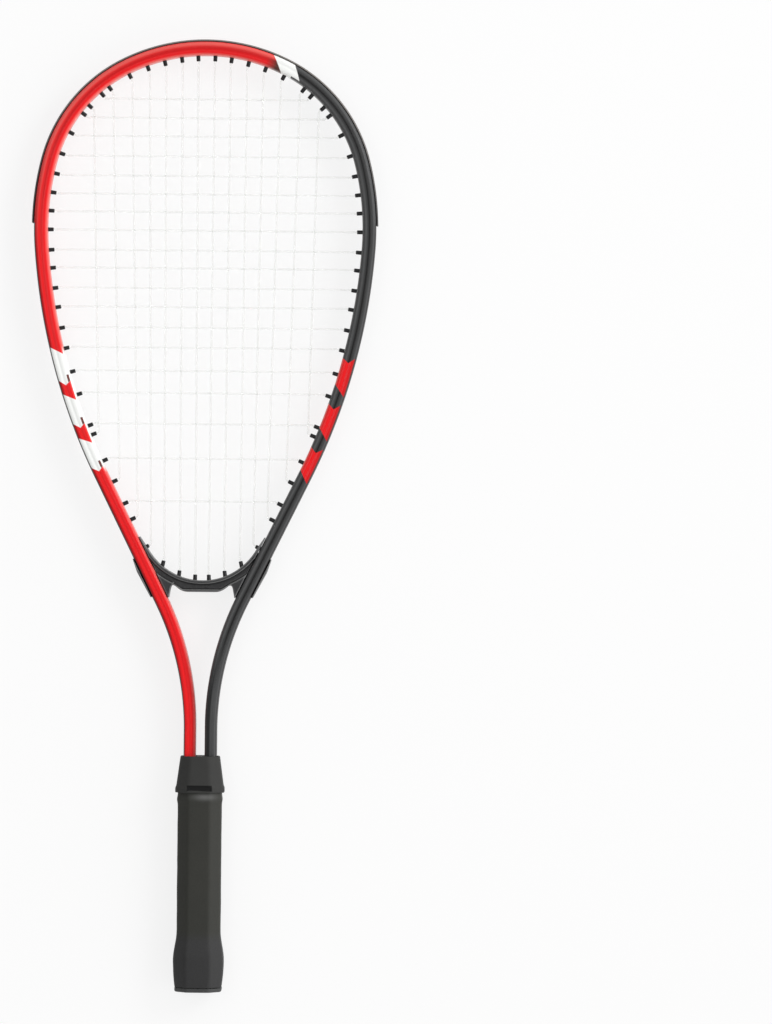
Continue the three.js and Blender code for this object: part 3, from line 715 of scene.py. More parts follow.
# Paint tones
RED = (0.80, 0.007, 0.010)
# Painted highlight: a paler red laid on the crown's outer lobe and along the inner edge
HIGHLIGHT_RED = (0.86, 0.16, 0.14)
TIP_BROWN = (0.09, 0.03, 0.022)
PRONG_BROWN = (0.13, 0.03, 0.025)
WHITE = (0.92, 0.93, 0.91)
TUBE_BLACK = (0.068, 0.069, 0.070)
# Painted shade for the black half's crease and the legs' inner side
SHADE_BLACK = (0.005, 0.005, 0.005)
# Painted shade along the tube's outer edge
EDGE_SHADE_BLACK = (0.022, 0.020, 0.020)
FULL = (1.0, 1.0, 1.0)
# Painted shade: the red is multiplied towards this where shade is painted
SHADE = (0.52, 0.5, 0.5)
PAINT_TONES = (0.9, 1.06)
PAINT_ROUGHNESS = (0.26, 0.40)
PAINT_CLOUD = 0.012
PAINT_FLAKE = 0.0003
PAINT_RIPPLE = (0.0016, 0.12, 0.00005)
FLAKE_BUMP = (0.04, 0.00002)
FLAKE_SHARE = 0.4
LOBE_HIGHLIGHT_STRENGTH = 0.7
CREASE_SHADE_STRENGTH = 0.5

# Other surfaces: a dark and a light tone, the range of roughness, and bumps, each a feature size,
# a strength and a depth
Look = namedtuple("Look", "dark light rough bumps")
NYLON = Look(
    (0.007, 0.007, 0.008), (0.013, 0.013, 0.014), (0.25, 0.38),
    ((0.0005, 0.18, 0.00005), (0.004, 0.1, 0.0001)))
BRIDGE = NYLON._replace(dark=(0.008, 0.008, 0.009), light=(0.020, 0.020, 0.021))
SCUFFED = Look((0.150, 0.138, 0.129), (0.250, 0.230, 0.216), (0.45, 0.58), ((0.0008, 0.25, 0.00006),))
RUBBER = Look(
    (0.026, 0.027, 0.027), (0.046, 0.047, 0.047), (0.55, 0.72),
    ((0.0007, 0.25, 0.00006), (0.005, 0.2, 0.0002)))
COLLAR = RUBBER._replace(dark=(0.026, 0.026, 0.025), light=(0.038, 0.038, 0.036))
SLEEVE = Look(
    (0.024, 0.025, 0.021), (0.035, 0.035, 0.029), (0.5, 0.68),
    ((0.0004, 0.2, 0.00005), (0.006, 0.25, 0.0003)))
FLARE = SLEEVE._replace(dark=(0.025, 0.025, 0.026), light=(0.037, 0.037, 0.038))
STRING = Look((0.94, 0.95, 0.94), (0.98, 0.98, 0.97), (0.2, 0.3), ((0.004, 0.05, 0.00003),))
PLASTIC = Look((0.20, 0.21, 0.22), (0.28, 0.29, 0.30), (0.48, 0.62), ((0.0008, 0.2, 0.00006),))
METAL = Look((0.42, 0.43, 0.44), (0.60, 0.61, 0.62), (0.25, 0.42), ())
CLOUD_DETAIL = 4
GRAIN_DETAIL = 3
FLAKE_DETAIL = 1
CLOUD_TO_FINE = 12
SCUFF_CLOUD = 0.004
SCUFF_CLOUD_BUMP = (0.1, 0.0001)
MOULD_CLOUD = 0.006
STRING_CLOUD = 0.02
SLEEVE_CLOUD = 0.016
SLEEVE_CELL = 0.00085
SLEEVE_CELL_BUMP = (0.35, 0.00012)
CELL_SHADE = 0.35
METAL_CLOUD = 0.003
METAL_MARK_SCALE = 900.0
METAL_MARK_WARP = 3.0
METAL_MARK_BUMP = (0.1, 0.00003)
CELL_BLACK = (0.017, 0.017, 0.015)
# Painted shade in the collar's slot
SLOT_SHADE_BLACK = (0.002, 0.002, 0.002)
# Painted shade in the bridge's sunken places; paler raised edges for edge wear and painted highlight
SUNK_SHADE_BLACK = (0.001, 0.001, 0.001)
EDGE_WEAR_AND_HIGHLIGHT_GREY = (0.16, 0.16, 0.16)
# Painted highlight on the sleeve under the collar's slot
HIGHLIGHT_PATCH_GREY = (0.115, 0.115, 0.113)
RAISED_POINTINESS = 0.505
SUNK_POINTINESS = 0.495
POINTINESS_BLUR = 0.04


class Enamel(Recipe):
    """The frame's paint, with painted highlights and painted shade, laid by how far along the tube and how
    far across it a point lies.
    """

    def __init__(self):
        owner = bpy.data.materials.new("frame_enamel")
        super().__init__(owner, Coat_Weight=0.05, Coat_Roughness=0.15, Specular_IOR_Level=0.22)
        self.run = self.noted("run")
        self.across = self.noted("across")
        self.walked = abs(self.run)
        self.crown = 1 - self.past(self.walked, CROWN_TONE_END, CROWN_TONE_BLUR)
        self.leg = self.past(self.walked, (THROAT_START + THROAT_END) / 2, LEG_TONE_BLUR)
        self.vee = self.either(self.across * ARROW_OUTER_VEE, self.across * -ARROW_INNER_VEE)
        self.slant = self.across * self.math("SIGN", self.run) * -ARROW_SLANT

    def past(self, value, edge, blur=PAINT_BLUR):
        """0 before an edge and 1 past it."""
        return ((value - edge) * (1 / blur) + 0.5).held()

    def outward(self, share):
        """0 inward of a share of the half width and 1 outward of it, softly."""
        return self.past(self.across, share, SHADE_BLUR_SHARE)

    def line(self, place, width=LINE_WIDTH_SHARE):
        """A soft line along the tube, round a share of its half width."""
        return self.bell((self.across - place) / width)

    def prong(self, place):
        """A thin hard line along the tube."""
        return self.line(place, PRONG_WIDTH_SHARE) > PRONG_LEVEL

    def red(self):
        """Red with painted highlights on the crown's outer lobe and the inner edge, and painted shade in
        the crown's crease, outside on the head and inside on the legs.
        """
        highlit_edge = 1 - self.outward(HIGHLIT_EDGE_SHARE)
        # Painted highlight on the crown's outer lobe and along the inner edge
        highlight = self.either(self.crown * self.line(LOBE_PLACE_SHARE) * LOBE_HIGHLIGHT_STRENGTH, highlit_edge)
        # Painted shade: darker outside on the head, inside on the legs, and down the crown's crease
        outer = self.outward(OUTER_SHADE_SHARE) * (1 - self.crown) * (1 - self.leg)
        inner = (1 - self.outward(INNER_SHADE_SHARE)) * self.leg
        crease = self.line(0.0) * self.crown * CREASE_SHADE_STRENGTH
        shade = self.blend((outer + inner + crease).held(), FULL, SHADE)
        return self.blend(1.0, self.blend(highlight, RED, HIGHLIGHT_RED), shade, "MULTIPLY")

    def black(self):
        """Black with painted shade: a darker line down the crease, which moves inward down the legs."""
        crease = self.line(CREASE_PLACE_SHARE) * (1 - self.leg)
        return self.blend(crease + self.line(INNER_SHADE_SHARE) * self.leg, TUBE_BLACK, SHADE_BLACK)

    def halves(self, red, black):
        """Red on the left, black on the right, and a slanted white band between them near the crown."""
        dark_tip = self.past(self.run, RED_END - TIP_BROWN_LENGTH / 2, TIP_BROWN_LENGTH)
        tip = dark_tip * (1 - self.outward(TIP_BROWN_SHARE))
        past_red = self.past(self.run + self.across * RED_END_SLANT, RED_END)
        colour = self.blend(past_red, self.blend(tip, red, TIP_BROWN), WHITE)
        prong = self.past(self.run, BLACK_PRONG_START) * self.prong(BLACK_PRONG_PLACE_SHARE)
        past_white = self.past(self.run + self.across * BLACK_START_SLANT, BLACK_START)
        return self.blend(self.either(past_white, prong), colour, black)

    def stripes(self, edges, starts_with_vee):
        """Bands that start and end at the edges by turns; every other edge is a vee."""
        band = 0.0
        for k, edge in enumerate(edges):
            starts = k % 2 == 0
            shape = self.vee if starts == starts_with_vee else self.slant
            reach = self.past(self.walked + shape, edge)
            band = reach + band if starts else band - reach
        return band.held()

    def arrows(self, colour, red):
        """White bands with brown prongs low on the left, and red bands on the right."""
        left = self.run < 0.0
        start, end = (self.past(self.walked, LEFT_STRIPE_EDGES[k], PALE_EDGE_BLUR) for k in (0, -1))
        beside_arrows = start * (1 - end) * (self.across < PRONG_PLACE_SHARE - PRONG_WIDTH_SHARE)
        white = self.either(self.stripes(LEFT_STRIPE_EDGES, False), beside_arrows)
        colour = self.blend(left * white, colour, WHITE)
        colour = self.blend((1 - left) * self.stripes(RIGHT_STRIPE_EDGES, True), colour, red)
        prongs = 0.0
        for tail in LEFT_STRIPE_EDGES[1::2]:
            before_tail = 1 - self.past(self.walked + self.vee, tail)
            prongs = self.past(self.walked, tail - PRONG_LENGTH) * before_tail + prongs
        return self.blend(left * self.prong(PRONG_PLACE_SHARE) * prongs, colour, PRONG_BROWN)

    def painted(self):
        red = self.red()
        colour = self.arrows(self.halves(red, self.black()), red)
        # Painted shade along the outer edge, from the bumper's end down
        below_bumper = self.past(self.walked, distance_at_level(BUMPER_END_LEVEL))
        edge_shade = below_bumper * self.past(self.across, EDGE_SHADE_SHARE, EDGE_SHADE_BLUR_SHARE)
        colour = self.blend(edge_shade, colour, EDGE_SHADE_BLACK)
        cloud, flake = self.grain(PAINT_CLOUD, GRAIN_DETAIL), self.grain(PAINT_FLAKE, FLAKE_DETAIL)
        tone = self.spread(flake * FLAKE_SHARE + cloud * (1 - FLAKE_SHARE), *PAINT_TONES)
        tones = self.field("ShaderNodeCombineColor", "Color", {"Red": tone, "Green": tone, "Blue": tone})
        self.bump(PAINT_RIPPLE, (flake, *FLAKE_BUMP))
        return self.finish(self.blend(1.0, colour, tones, "MULTIPLY"), self.spread(cloud, *PAINT_ROUGHNESS))


def plain_material(name, look, mottle=MOULD_CLOUD, **settings):
    """A moulded or drawn surface whose colour and roughness vary a little over it."""
    recipe = new_recipe(name, **settings)
    cloud, fine = recipe.grain(mottle, CLOUD_DETAIL), recipe.grain(mottle / CLOUD_TO_FINE)
    recipe.bump(*look.bumps)
    return recipe.finish(recipe.mottled(cloud, look), recipe.spread((cloud + fine) * 0.5, *look.rough))


def bumper_material():
    """Black nylon that is scuffed grey over the crown, where it takes the knocks."""
    recipe = new_recipe("scuffed_nylon", Specular_IOR_Level=0.3)
    cloud = recipe.grain(SCUFF_CLOUD, CLOUD_DETAIL)
    worn = recipe.noted("wear")
    recipe.bump(*SCUFFED.bumps, (cloud, *SCUFF_CLOUD_BUMP))
    rough = recipe.spread(cloud, *NYLON.rough) + worn * (SCUFFED.rough[0] - NYLON.rough[0])
    colour = recipe.blend(worn, recipe.mottled(cloud, NYLON), recipe.mottled(cloud, SCUFFED))
    return recipe.finish(colour, rough)


def bridge_material():
    """Black nylon whose raised edges are painted paler, partly as edge wear and partly as painted
    highlight, and whose sunken places carry painted shade.
    """
    recipe = new_recipe("bridge_nylon")
    cloud = recipe.grain(MOULD_CLOUD, CLOUD_DETAIL)
    pointed = recipe.field("ShaderNodeNewGeometry", "Pointiness")
    # Raised edges: paler for edge wear and painted highlight; sunken places: painted shade
    raised = ((pointed - RAISED_POINTINESS) / POINTINESS_BLUR).held()
    sunk = ((SUNK_POINTINESS - pointed) / POINTINESS_BLUR).held()
    colour = recipe.blend(raised, recipe.mottled(cloud, BRIDGE), EDGE_WEAR_AND_HIGHLIGHT_GREY)
    return recipe.surfaced(cloud, BRIDGE, recipe.blend(sunk, colour, SUNK_SHADE_BLACK))


def grip_material():
    """Grained polyurethane: fine cells, softer creases, and a painted highlight patch under the collar's
    slot.
    """
    recipe = new_recipe("grip_polyurethane", Specular_IOR_Level=0.3)
    x, y, z = recipe.split(recipe.place)
    inputs = {"Vector": recipe.place, "Scale": 1 / SLEEVE_CELL}
    cells = recipe.field("ShaderNodeTexVoronoi", "Distance", inputs)
    cloud = recipe.grain(SLEEVE_CLOUD, CLOUD_DETAIL)
    flare = ((BUTT_LEVEL + FLARE_HEIGHT - y) / FLARE_TONE_BLUR).held()
    # Painted highlight: a paler patch on the front of the sleeve just under the collar's slot
    across = recipe.bell((x - HIGHLIGHT_PATCH_PLACE) / HIGHLIGHT_PATCH_REACH)
    highlight_patch = across * recipe.bell((y - BUTT_LEVEL - HIGHLIGHT_PATCH_HEIGHT) / HIGHLIGHT_PATCH_TALL) * (z > MIDDLE_LEVEL)
    colour = recipe.blend(flare, recipe.mottled(cloud, SLEEVE), recipe.mottled(cloud, FLARE))
    colour = recipe.blend(recipe.spread(cells, 0.0, CELL_SHADE), colour, CELL_BLACK)
    recipe.bump((cells, *SLEEVE_CELL_BUMP), *SLEEVE.bumps, detail=GRAIN_DETAIL)
    return recipe.finish(recipe.blend(highlight_patch, colour, HIGHLIGHT_PATCH_GREY), recipe.spread(cloud, *SLEEVE.rough))


def collar_material():
    """Matt moulded rubber, with painted shade in the bottom of its front slot."""
    recipe = new_recipe("collar_rubber", Specular_IOR_Level=0.25)
    cloud = recipe.grain(MOULD_CLOUD, CLOUD_DETAIL)
    x, y, z = recipe.split(recipe.place)
    # Painted shade: the slot's floor is darkened to near black
    bottom = MIDDLE_LEVEL + COLLAR_SKIRT_SIZE[1] / 2 - SLOT_DEEP / 2
    inside = (abs(x) < SLOT_WIDTH / 2) * (abs(y - BUTT_LEVEL - SLOT_HEIGHT) < SLOT_TALL / 2 + SLOT_SLANT)
    inside = inside * (z < bottom) * (z > bottom - SLOT_DEEP)
    return recipe.surfaced(cloud, COLLAR, recipe.blend(inside, recipe.mottled(cloud, COLLAR), SLOT_SHADE_BLACK))


def steel_material():
    """Plain steel with fine turning marks."""
    recipe = new_recipe("plain_steel", Metallic=1.0)
    marks = recipe.field("ShaderNodeTexWave", "Fac", {
        "Vector": recipe.place, "Scale": METAL_MARK_SCALE, "Distortion": METAL_MARK_WARP})
    cloud = recipe.grain(METAL_CLOUD, GRAIN_DETAIL)
    recipe.bump((marks, *METAL_MARK_BUMP))
    return recipe.finish(recipe.mottled(cloud, METAL), recipe.spread(cloud, *METAL.rough))


ENAMEL = Enamel().painted()
BLACK_NYLON = plain_material("black_nylon", NYLON, Specular_IOR_Level=0.3)
BLACK_RUBBER = plain_material("black_rubber", RUBBER, Sheen_Weight=0.1)
CLEAR_NYLON = plain_material(
    "clear_nylon", STRING, STRING_CLOUD, Specular_IOR_Level=0.2, Transmission_Weight=0.88, IOR=1.08)
SCUFFED_NYLON = bumper_material()
BRIDGE_NYLON = bridge_material()
PALE_PLASTIC = plain_material("pale_plastic", PLASTIC)
COLLAR_RUBBER = collar_material()
GRIP_SKIN = grip_material()
STEEL = steel_material()


# Frame tube
def tube_section():
    """A squared oval with a crease down each face and the string groove in its outer side."""
    lip = GROOVE_WIDTH / 2 + GROOVE_CORNER
    power = 2 / TUBE_ROUNDNESS
    start = math.asin((lip / HALF_DEPTH) ** (1 / power))
    turn = np.linspace(start, 2 * math.pi - start, FINE_SAMPLES)
    x = HALF_TUBE * np.sign(np.cos(turn)) * np.abs(np.cos(turn)) ** power
    level = HALF_DEPTH * np.sign(np.sin(turn)) * np.abs(np.sin(turn)) ** power
    from_crease = (x - CREASE_PLACE_SHARE * HALF_TUBE) / CREASE_WIDTH
    facing = np.sign(level) * (np.abs(level) / HALF_DEPTH) ** CREASE_FLATNESS
    level -= CREASE_DEPTH * np.exp(-from_crease ** 2) * facing
    outline = np.column_stack([x, level])
    walked = np.concatenate([[0], np.cumsum(np.linalg.norm(np.diff(outline, axis=0), axis=1))])
    stops = np.linspace(0, walked[-1], round(walked[-1] / TUBE_POINT_STEP))
    outline = np.column_stack([np.interp(stops, walked, outline[:, k]) for k in (0, 1)])
    edge, side = outline[0, 0], lip - GROOVE_CORNER
    ease = CORNER_EASE * GROOVE_CORNER
    groove = [[edge - ease, -side - ease], [edge - GROOVE_CORNER, -side], [GROOVE_FLOOR, -side]]
    return np.vstack([outline, above_and_below(groove)])


def frame_tube():
    section = tube_section()
    distances = along_frame(-FRAME_REACH, FRAME_REACH, TUBE_RING_STEP)
    rings = frame_sweep(section, distances)
    shells = Shells().add(rings, run=distances[:, None], across=section[:, 0] / HALF_TUBE)
    piece("frame_tube_enamelled", shells, ENAMEL, "frame_paint", "frame_tube")


# Grommet strips
def barrel_rings(hole, level):
    """A barrel with a rounded mouth, as rings from its foot out to its tip and down its bore."""
    axis = hole.tip - hole.foot
    length = np.linalg.norm(axis)
    axis = np.append(axis / length, 0)
    right = np.array([axis[1], -axis[0], 0])
    up = np.array([0, 0, 1.0])
    outer, bore = BARREL_DIAMETER / 2, BARREL_BORE / 2
    tip, ease = outer - BARREL_TAPER, CORNER_EASE * BARREL_ROUND
    profile = [
        (0, outer),
        (length - BARREL_ROUND, tip),
        (length - ease, tip - ease),
        (length, tip - BARREL_ROUND / 2),
        (length, bore + BARREL_ROUND / 3),
        (length - BARREL_ROUND / 2, bore),
        (length - BARREL_MOUTH, bore),
    ]
    turn = np.linspace(0, 2 * math.pi, BARREL_SIDES, endpoint=False)
    around = np.outer(np.cos(turn), right) + np.outer(np.sin(turn), up)
    foot = lifted(hole.foot, level)
    return [foot + axis * out + around * radius for out, radius in profile]


def add_barrels(shells, wanted, **notes):
    for hole, level in LEVELLED_HOLES:
        if wanted(hole):
            shells.add(barrel_rings(hole, level), **notes)


def channel_section(wing):
    """The strip's floor in the groove, its walls beside the string, and wings where it is a bumper."""
    inner = HALF_BAND - STRIP_WALL
    edge = HALF_TUBE + BUMPER_PROUD if wing else HALF_TUBE
    points = [[STRIP_OUTER, inner], [edge, inner], [edge, HALF_BAND], [STRIP_INNER, HALF_BAND]]
    if wing:
        points[2:3] = [
            [edge, BUMPER_WIDTH / 2 - STRIP_WALL], [SEAT_REACH, BUMPER_WIDTH / 2], [SEAT_REACH, HALF_BAND]]
    return fillet(above_and_below(points), STRIP_ROUND)


def flat_section(inner, outer):
    return fillet(above_and_below([[outer, HALF_BAND], [inner, HALF_BAND]]), STRIP_ROUND)


def head_bumper_strip():
    end = distance_at_level(BUMPER_END_LEVEL)
    shells = Shells()
    distances = along_frame(-end, end, STRIP_RING_STEP)
    wear = np.interp(np.abs(distances), [SCUFF_FADE_START, SCUFF_FADE_END], [1, 0])
    shells.add(frame_sweep(channel_section(True), distances), wear=wear[:, None])
    add_barrels(shells, lambda hole: not hole.on_bridge and abs(hole.at) < end, wear=0)
    piece("head_bumper_moulded", shells, SCUFFED_NYLON, "moulded_black", "head_bumper_strip")


def side_strip(side, word):
    start = distance_at_level(BUMPER_END_LEVEL) + FIT_GAP
    end = distance_at_level(SIDE_STRIP_END_LEVEL)
    wall_end = distance_at_level(BRIDGE_CREST_LEVEL + SADDLE_TOP_RISE) - FIT_GAP
    shells = Shells()
    layers = ((channel_section(False), wall_end), (flat_section(STRIP_INNER, STRIP_OUTER), end))
    for section, reach in layers:
        shells.add(frame_sweep(section, side * along_frame(start, reach, STRIP_RING_STEP)))
    add_barrels(shells, lambda hole: not hole.on_bridge and hole.at * side > start)
    piece(f"{word}_strip_moulded", shells, BLACK_NYLON, "moulded_black", f"{word}_grommet_strip")


def crest_sweep(section, turn):
    """Rings of a section of depths under the crest and levels, carried along the bridge's arc."""
    turns = np.linspace(-turn, turn, CREST_STEPS)
    return swept(section, crest_points(turns, 0), np.stack([np.sin(turns), -np.cos(turns)], axis=-1))


def bridge_grommet_strip():
    top = YOKE_FLOOR + FIT_GAP
    shells = Shells()
    turn = CHANNEL_TURN - FIT_GAP / BRIDGE_CREST_RADIUS
    shells.add(crest_sweep(flat_section(top, top + STRIP_THICKNESS), turn))
    add_barrels(shells, lambda hole: hole.on_bridge)
    piece("bridge_strip_moulded", shells, BLACK_NYLON, "moulded_black", "bridge_grommet_strip")


# Strings
def crossings(run, others, sign):
    """Where a string crosses the others, as shares of its length, and the level it passes at."""
    start, end = run[0].inside, run[1].inside
    found = []
    for k, (first, second) in enumerate(others):
        sides = np.column_stack([end - start, first.inside - second.inside])
        share, other_share = np.linalg.solve(sides, first.inside - start)
        if 0 < share < 1 and 0 < other_share < 1:
            found.append((share, sign * WEAVE_LIFT * (1 if k % 2 else -1)))
    return sorted(found)


def woven(run, knots, level):
    """The bed's part of a string: straight as seen from the front, over and under in depth."""
    start, end = run[0].inside, run[1].inside
    stops = [(0.0, level), *knots, (1.0, level)]
    points = [lifted(start, level)]
    for (share, low), (next_share, high) in zip(stops, stops[1:]):
        for k in range(1, WEAVE_STEPS + 1):
            t = k / WEAVE_STEPS
            flat = start + (end - start) * (share + (next_share - share) * t)
            points.append(lifted(flat, low + (high - low) * eased(t)))
    return points


def loop_middle(one, other):
    """Where a string rests between two neighbouring holes, outside the head."""
    middle = (one.at + other.at) / 2
    if one.on_bridge:
        return crest_points(middle, YOKE_FLOOR + FIT_GAP + STRIP_THICKNESS + LOOP_LIFT)
    return beside(middle, STRIP_OUTER + LOOP_LIFT)


def string_path(runs, others, level, flip):
    """One unbroken string: along each run, round to the next hole, and back."""
    path = []
    for index, run in enumerate(runs):
        ends = run[::-1] if index % 2 else run
        knots = crossings(ends, others, flip * (1 if index % 2 else -1))
        if index:
            path.append(lifted(loop_middle(runs[index - 1][index % 2], ends[0]), level))
        path.append(lifted(ends[0].outside, level))
        path.extend(woven(ends, knots, level))
        path.append(lifted(ends[1].outside, level))
    return np.array(path)


def rounded_path(points, radius):
    """A path whose sharp corners are turned into short curves."""
    path = [points[0]]
    for before, corner, after in zip(points, points[1:], points[2:]):
        arrive, depart = corner - before, after - corner
        cosine = arrive @ depart / (np.linalg.norm(arrive) * np.linalg.norm(depart))
        sharp = math.acos(np.clip(cosine, -1, 1)) >= STRING_LEAST_TURN
        path += turned(before, corner, after, radius, STRING_CORNER_STEPS) if sharp else [corner]
    return np.array([*path, points[-1]])


def cord_rings(path, radius, sides):
    """Rings round a path, turned as little as possible from one to the next."""
    ways = np.gradient(path, axis=0)
    ways /= np.linalg.norm(ways, axis=1)[:, None]
    right = np.cross(ways[0], [0, 0, 1.0])
    turn = np.linspace(0, 2 * math.pi, sides, endpoint=False)
    rings = []
    for point, way in zip(path, ways):
        right = right - way * (right @ way)
        right /= np.linalg.norm(right)
        up = np.cross(right, way)
        rings.append(point + radius * (np.outer(np.cos(turn), right) + np.outer(np.sin(turn), up)))
    return rings


def strings():
    for name, node, runs, others, level, flip in (
            ("main_string_woven", "main_string", MAIN_RUNS, CROSS_RUNS, STRING_LEVEL, 1),
            ("cross_string_woven", "cross_string", CROSS_RUNS, MAIN_RUNS, -STRING_LEVEL, -1)):
        path = rounded_path(string_path(runs, others, level, flip), STRING_BEND)
        rings = cord_rings(path, STRING_DIAMETER / 2, STRING_SIDES)
        piece(name, Shells().add(rings), CLEAR_NYLON, "string", node, angle=ROUND_ANGLE)


# Throat bridge
def yoke_outline():
    underside = BRIDGE_CREST_LEVEL - YOKE_THICKNESS
    tip = distance_at_level(BRIDGE_CREST_LEVEL + ARM_TIP_RISE)
    end = distance_at_level(SADDLE_END_LEVEL)
    inner_wall = -SEAT_REACH - SADDLE_TIP_WALL
    corners = [
        [0, underside], [YOKE_FLAT_WIDTH / 2, underside], [NOTCH_REACH, underside + NOTCH_RISE],
        beside(distance_at_level(SADDLE_END_LEVEL, inner_wall), inner_wall)]
    right = [
        fillet(corners, YOKE_CORNER, YOKE_CORNER_STEPS)[YOKE_CORNER_STEPS:-YOKE_CORNER_STEPS],
        [corners[-1]],
        beside(along_frame(end, tip, STRIP_RING_STEP), 0),
        [beside(tip, -HALF_TUBE - ARM_TIP_WALL)],
        crest_points(np.linspace(BRIDGE_ARM_TURN, 0, CREST_STEPS), 0),
    ]
    return both_sides(np.vstack(right))


def both_sides(right):
    """A right-hand outline and its mirror image, as one outline. Its last point lies on the middle."""
    return np.vstack([right, (right[:-1] * [-1, 1])[::-1]])


def saddle_outline(side):
    """A saddle's lip, thickest at its lug, and its inner wall, which thins towards its end."""
    top, lug = (distance_at_level(BRIDGE_CREST_LEVEL + rise) for rise in (SADDLE_TOP_RISE, SADDLE_LUG_RISE))
    outer_end = distance_at_level(SADDLE_END_LEVEL, SEAT_REACH + LIP_THIN)
    inner_end = distance_at_level(SADDLE_END_LEVEL, -SEAT_REACH - SADDLE_TIP_WALL)
    stops = along_frame(top, outer_end, STRIP_RING_STEP / 2)
    lips = np.interp(stops, [top, lug, outer_end], [LIP_START, LIP_THICK, LIP_THIN])
    inner_stops = along_frame(inner_end, top, STRIP_RING_STEP / 2)
    walls = np.interp(inner_stops, [top, lug, inner_end], [SADDLE_WALL, SADDLE_WALL, SADDLE_TIP_WALL])
    outline = np.vstack([beside(stops, SEAT_REACH + lips), beside(inner_stops, -SEAT_REACH - walls)])
    return outline * [side, 1]


def web_outline():
    """The hollow between the bridge's two rims, from arm to arm."""
    depth = YOKE_THICKNESS - YOKE_LOWER_RIM
    right = np.vstack([
        crest_points(np.linspace(YOKE_WEB_TURN, YOKE_FLOOR_TURN, WEB_SIDE_STEPS), depth),
        [[YOKE_FLAT_WIDTH / 2, BRIDGE_CREST_LEVEL - depth]],
    ])
    lower = np.vstack([right, (right * [-1, 1])[::-1]])
    upper = crest_points(np.linspace(-YOKE_WEB_TURN, YOKE_WEB_TURN, WEB_TOP_STEPS), YOKE_UPPER_RIM)
    return np.vstack([lower, upper])


def gusset_outline(side):
    """The sunken web between an arm, the notch and the saddle."""
    end = distance_at_level(BRIDGE_CREST_LEVEL - SADDLE_END_DROP / 3)
    top = distance_at_level(BRIDGE_CREST_LEVEL + SADDLE_LUG_RISE)
    wall = -SEAT_REACH - SADDLE_WALL
    turns = np.linspace(GUSSET_START_TURN, GUSSET_END_TURN, GUSSET_STEPS)
    points = np.vstack([
        crest_points(turns, YOKE_THICKNESS),
        beside(along_frame(top, end, STRIP_RING_STEP), wall),
    ])
    return points * [side, 1]


def throat_bridge():
    half = YOKE_DEPTH / 2
    back = -HALF_DEPTH - FIT_GAP - SADDLE_WALL
    front = HALF_DEPTH - SADDLE_FRONT_SETBACK
    blanks = [prism(yoke_outline(), -half, half)]
    blanks += [prism(saddle_outline(side), back, front) for side in (-1, 1)]
    low, high = -HALF_DEPTH - FIT_GAP, HALF_DEPTH + CUT_OVERRUN
    seat = np.array([[-SEAT_REACH, low], [SEAT_REACH, low], [SEAT_REACH, high], [-SEAT_REACH, high]])
    start = distance_at_level(BRIDGE_CREST_LEVEL + ARM_TIP_RISE) - YOKE_THICKNESS
    end = distance_at_level(SADDLE_END_LEVEL) + YOKE_THICKNESS
    stops = along_frame(start, end, STRIP_RING_STEP)
    tools = [frame_sweep(seat, side * stops) for side in (-1, 1)]
    channel = above_and_below([
        [YOKE_THICKNESS + CUT_OVERRUN, GROOVE_WIDTH / 2], [YOKE_FLOOR, GROOVE_WIDTH / 2]])
    tools.append(crest_sweep(channel, CHANNEL_TURN))
    hollows = [(web_outline(), YOKE_WEB_RECESS)]
    hollows += [(gusset_outline(side), GUSSET_RECESS) for side in (-1, 1)]
    for outline, recess in hollows:
        tools.append(prism(outline, half - recess, half + CUT_OVERRUN))
        tools.append(prism(outline, -half - CUT_OVERRUN, recess - half))
    mesh = moulded("throat_bridge_moulded", blanks, tools)
    piece("throat_bridge_moulded", mesh, BRIDGE_NYLON, "moulded_black", "throat_bridge", angle=ROUND_ANGLE)


# Handle
def laid(outline, height):
    """An outline laid across the handle at a height above the butt's end."""
    level = np.full(len(outline), BUTT_LEVEL + height)
    return np.column_stack([outline[:, 0], level, outline[:, 1] + MIDDLE_LEVEL])


def octagon(height, size, corner=GRIP_ROUND):
    """A ring round the handle: eight sides with rounded corners, from its full width and depth."""
    flat = 1 - BEVEL_SHARE
    points = np.array([
        [1, -flat], [1, flat], [flat, 1], [-flat, 1], [-1, flat], [-1, -flat], [-flat, -1], [flat, -1]])
    return laid(fillet(points * size / 2, corner, OCTAGON_CORNER_STEPS), height)


def swell_at(height):
    """How far the grip has flared towards the butt's greatest size, from 0 to 1."""
    if height >= SWELL_HEIGHT:
        return eased(min(1.0, max(0.0, (FLARE_HEIGHT - height) / (FLARE_HEIGHT - SWELL_HEIGHT))))
    below = (SWELL_HEIGHT - height) / (SWELL_HEIGHT - WRAP_END_HEIGHT)
    return 1 - (1 - BUTT_END_SHARE) * below ** BUTT_END_POWER


def grip_size(height, inset=0):
    return GRIP_SIZE + (BUTT_SIZE - GRIP_SIZE) * swell_at(height) - 2 * inset


def grip_rings(heights, inset=0):
    return [octagon(height, grip_size(height, inset)) for height in heights]


def rolled(ring, height):
    """A ring of the sleeve, waved where the foam gives and swollen where it leaves the collar."""
    tucked = TUCK_ROLL * math.exp(-((height - TUCK_ROLL_HEIGHT) / TUCK_ROLL_LENGTH) ** 2)
    away = (ring - [0, 0, MIDDLE_LEVEL]) * [1, 0, 1]
    away /= np.linalg.norm(away, axis=1)[:, None]
    places = [Vector(point) / WRAP_WAVE_SIZE for point in ring]
    waves = [noise.noise(place) + RIPPLE_SHARE * noise.noise(place * RIPPLES_TO_A_WAVE) for place in places]
    return ring + away * (np.array(waves) * WRAP_WAVE - WRAP_WAVE + tucked)[:, None]


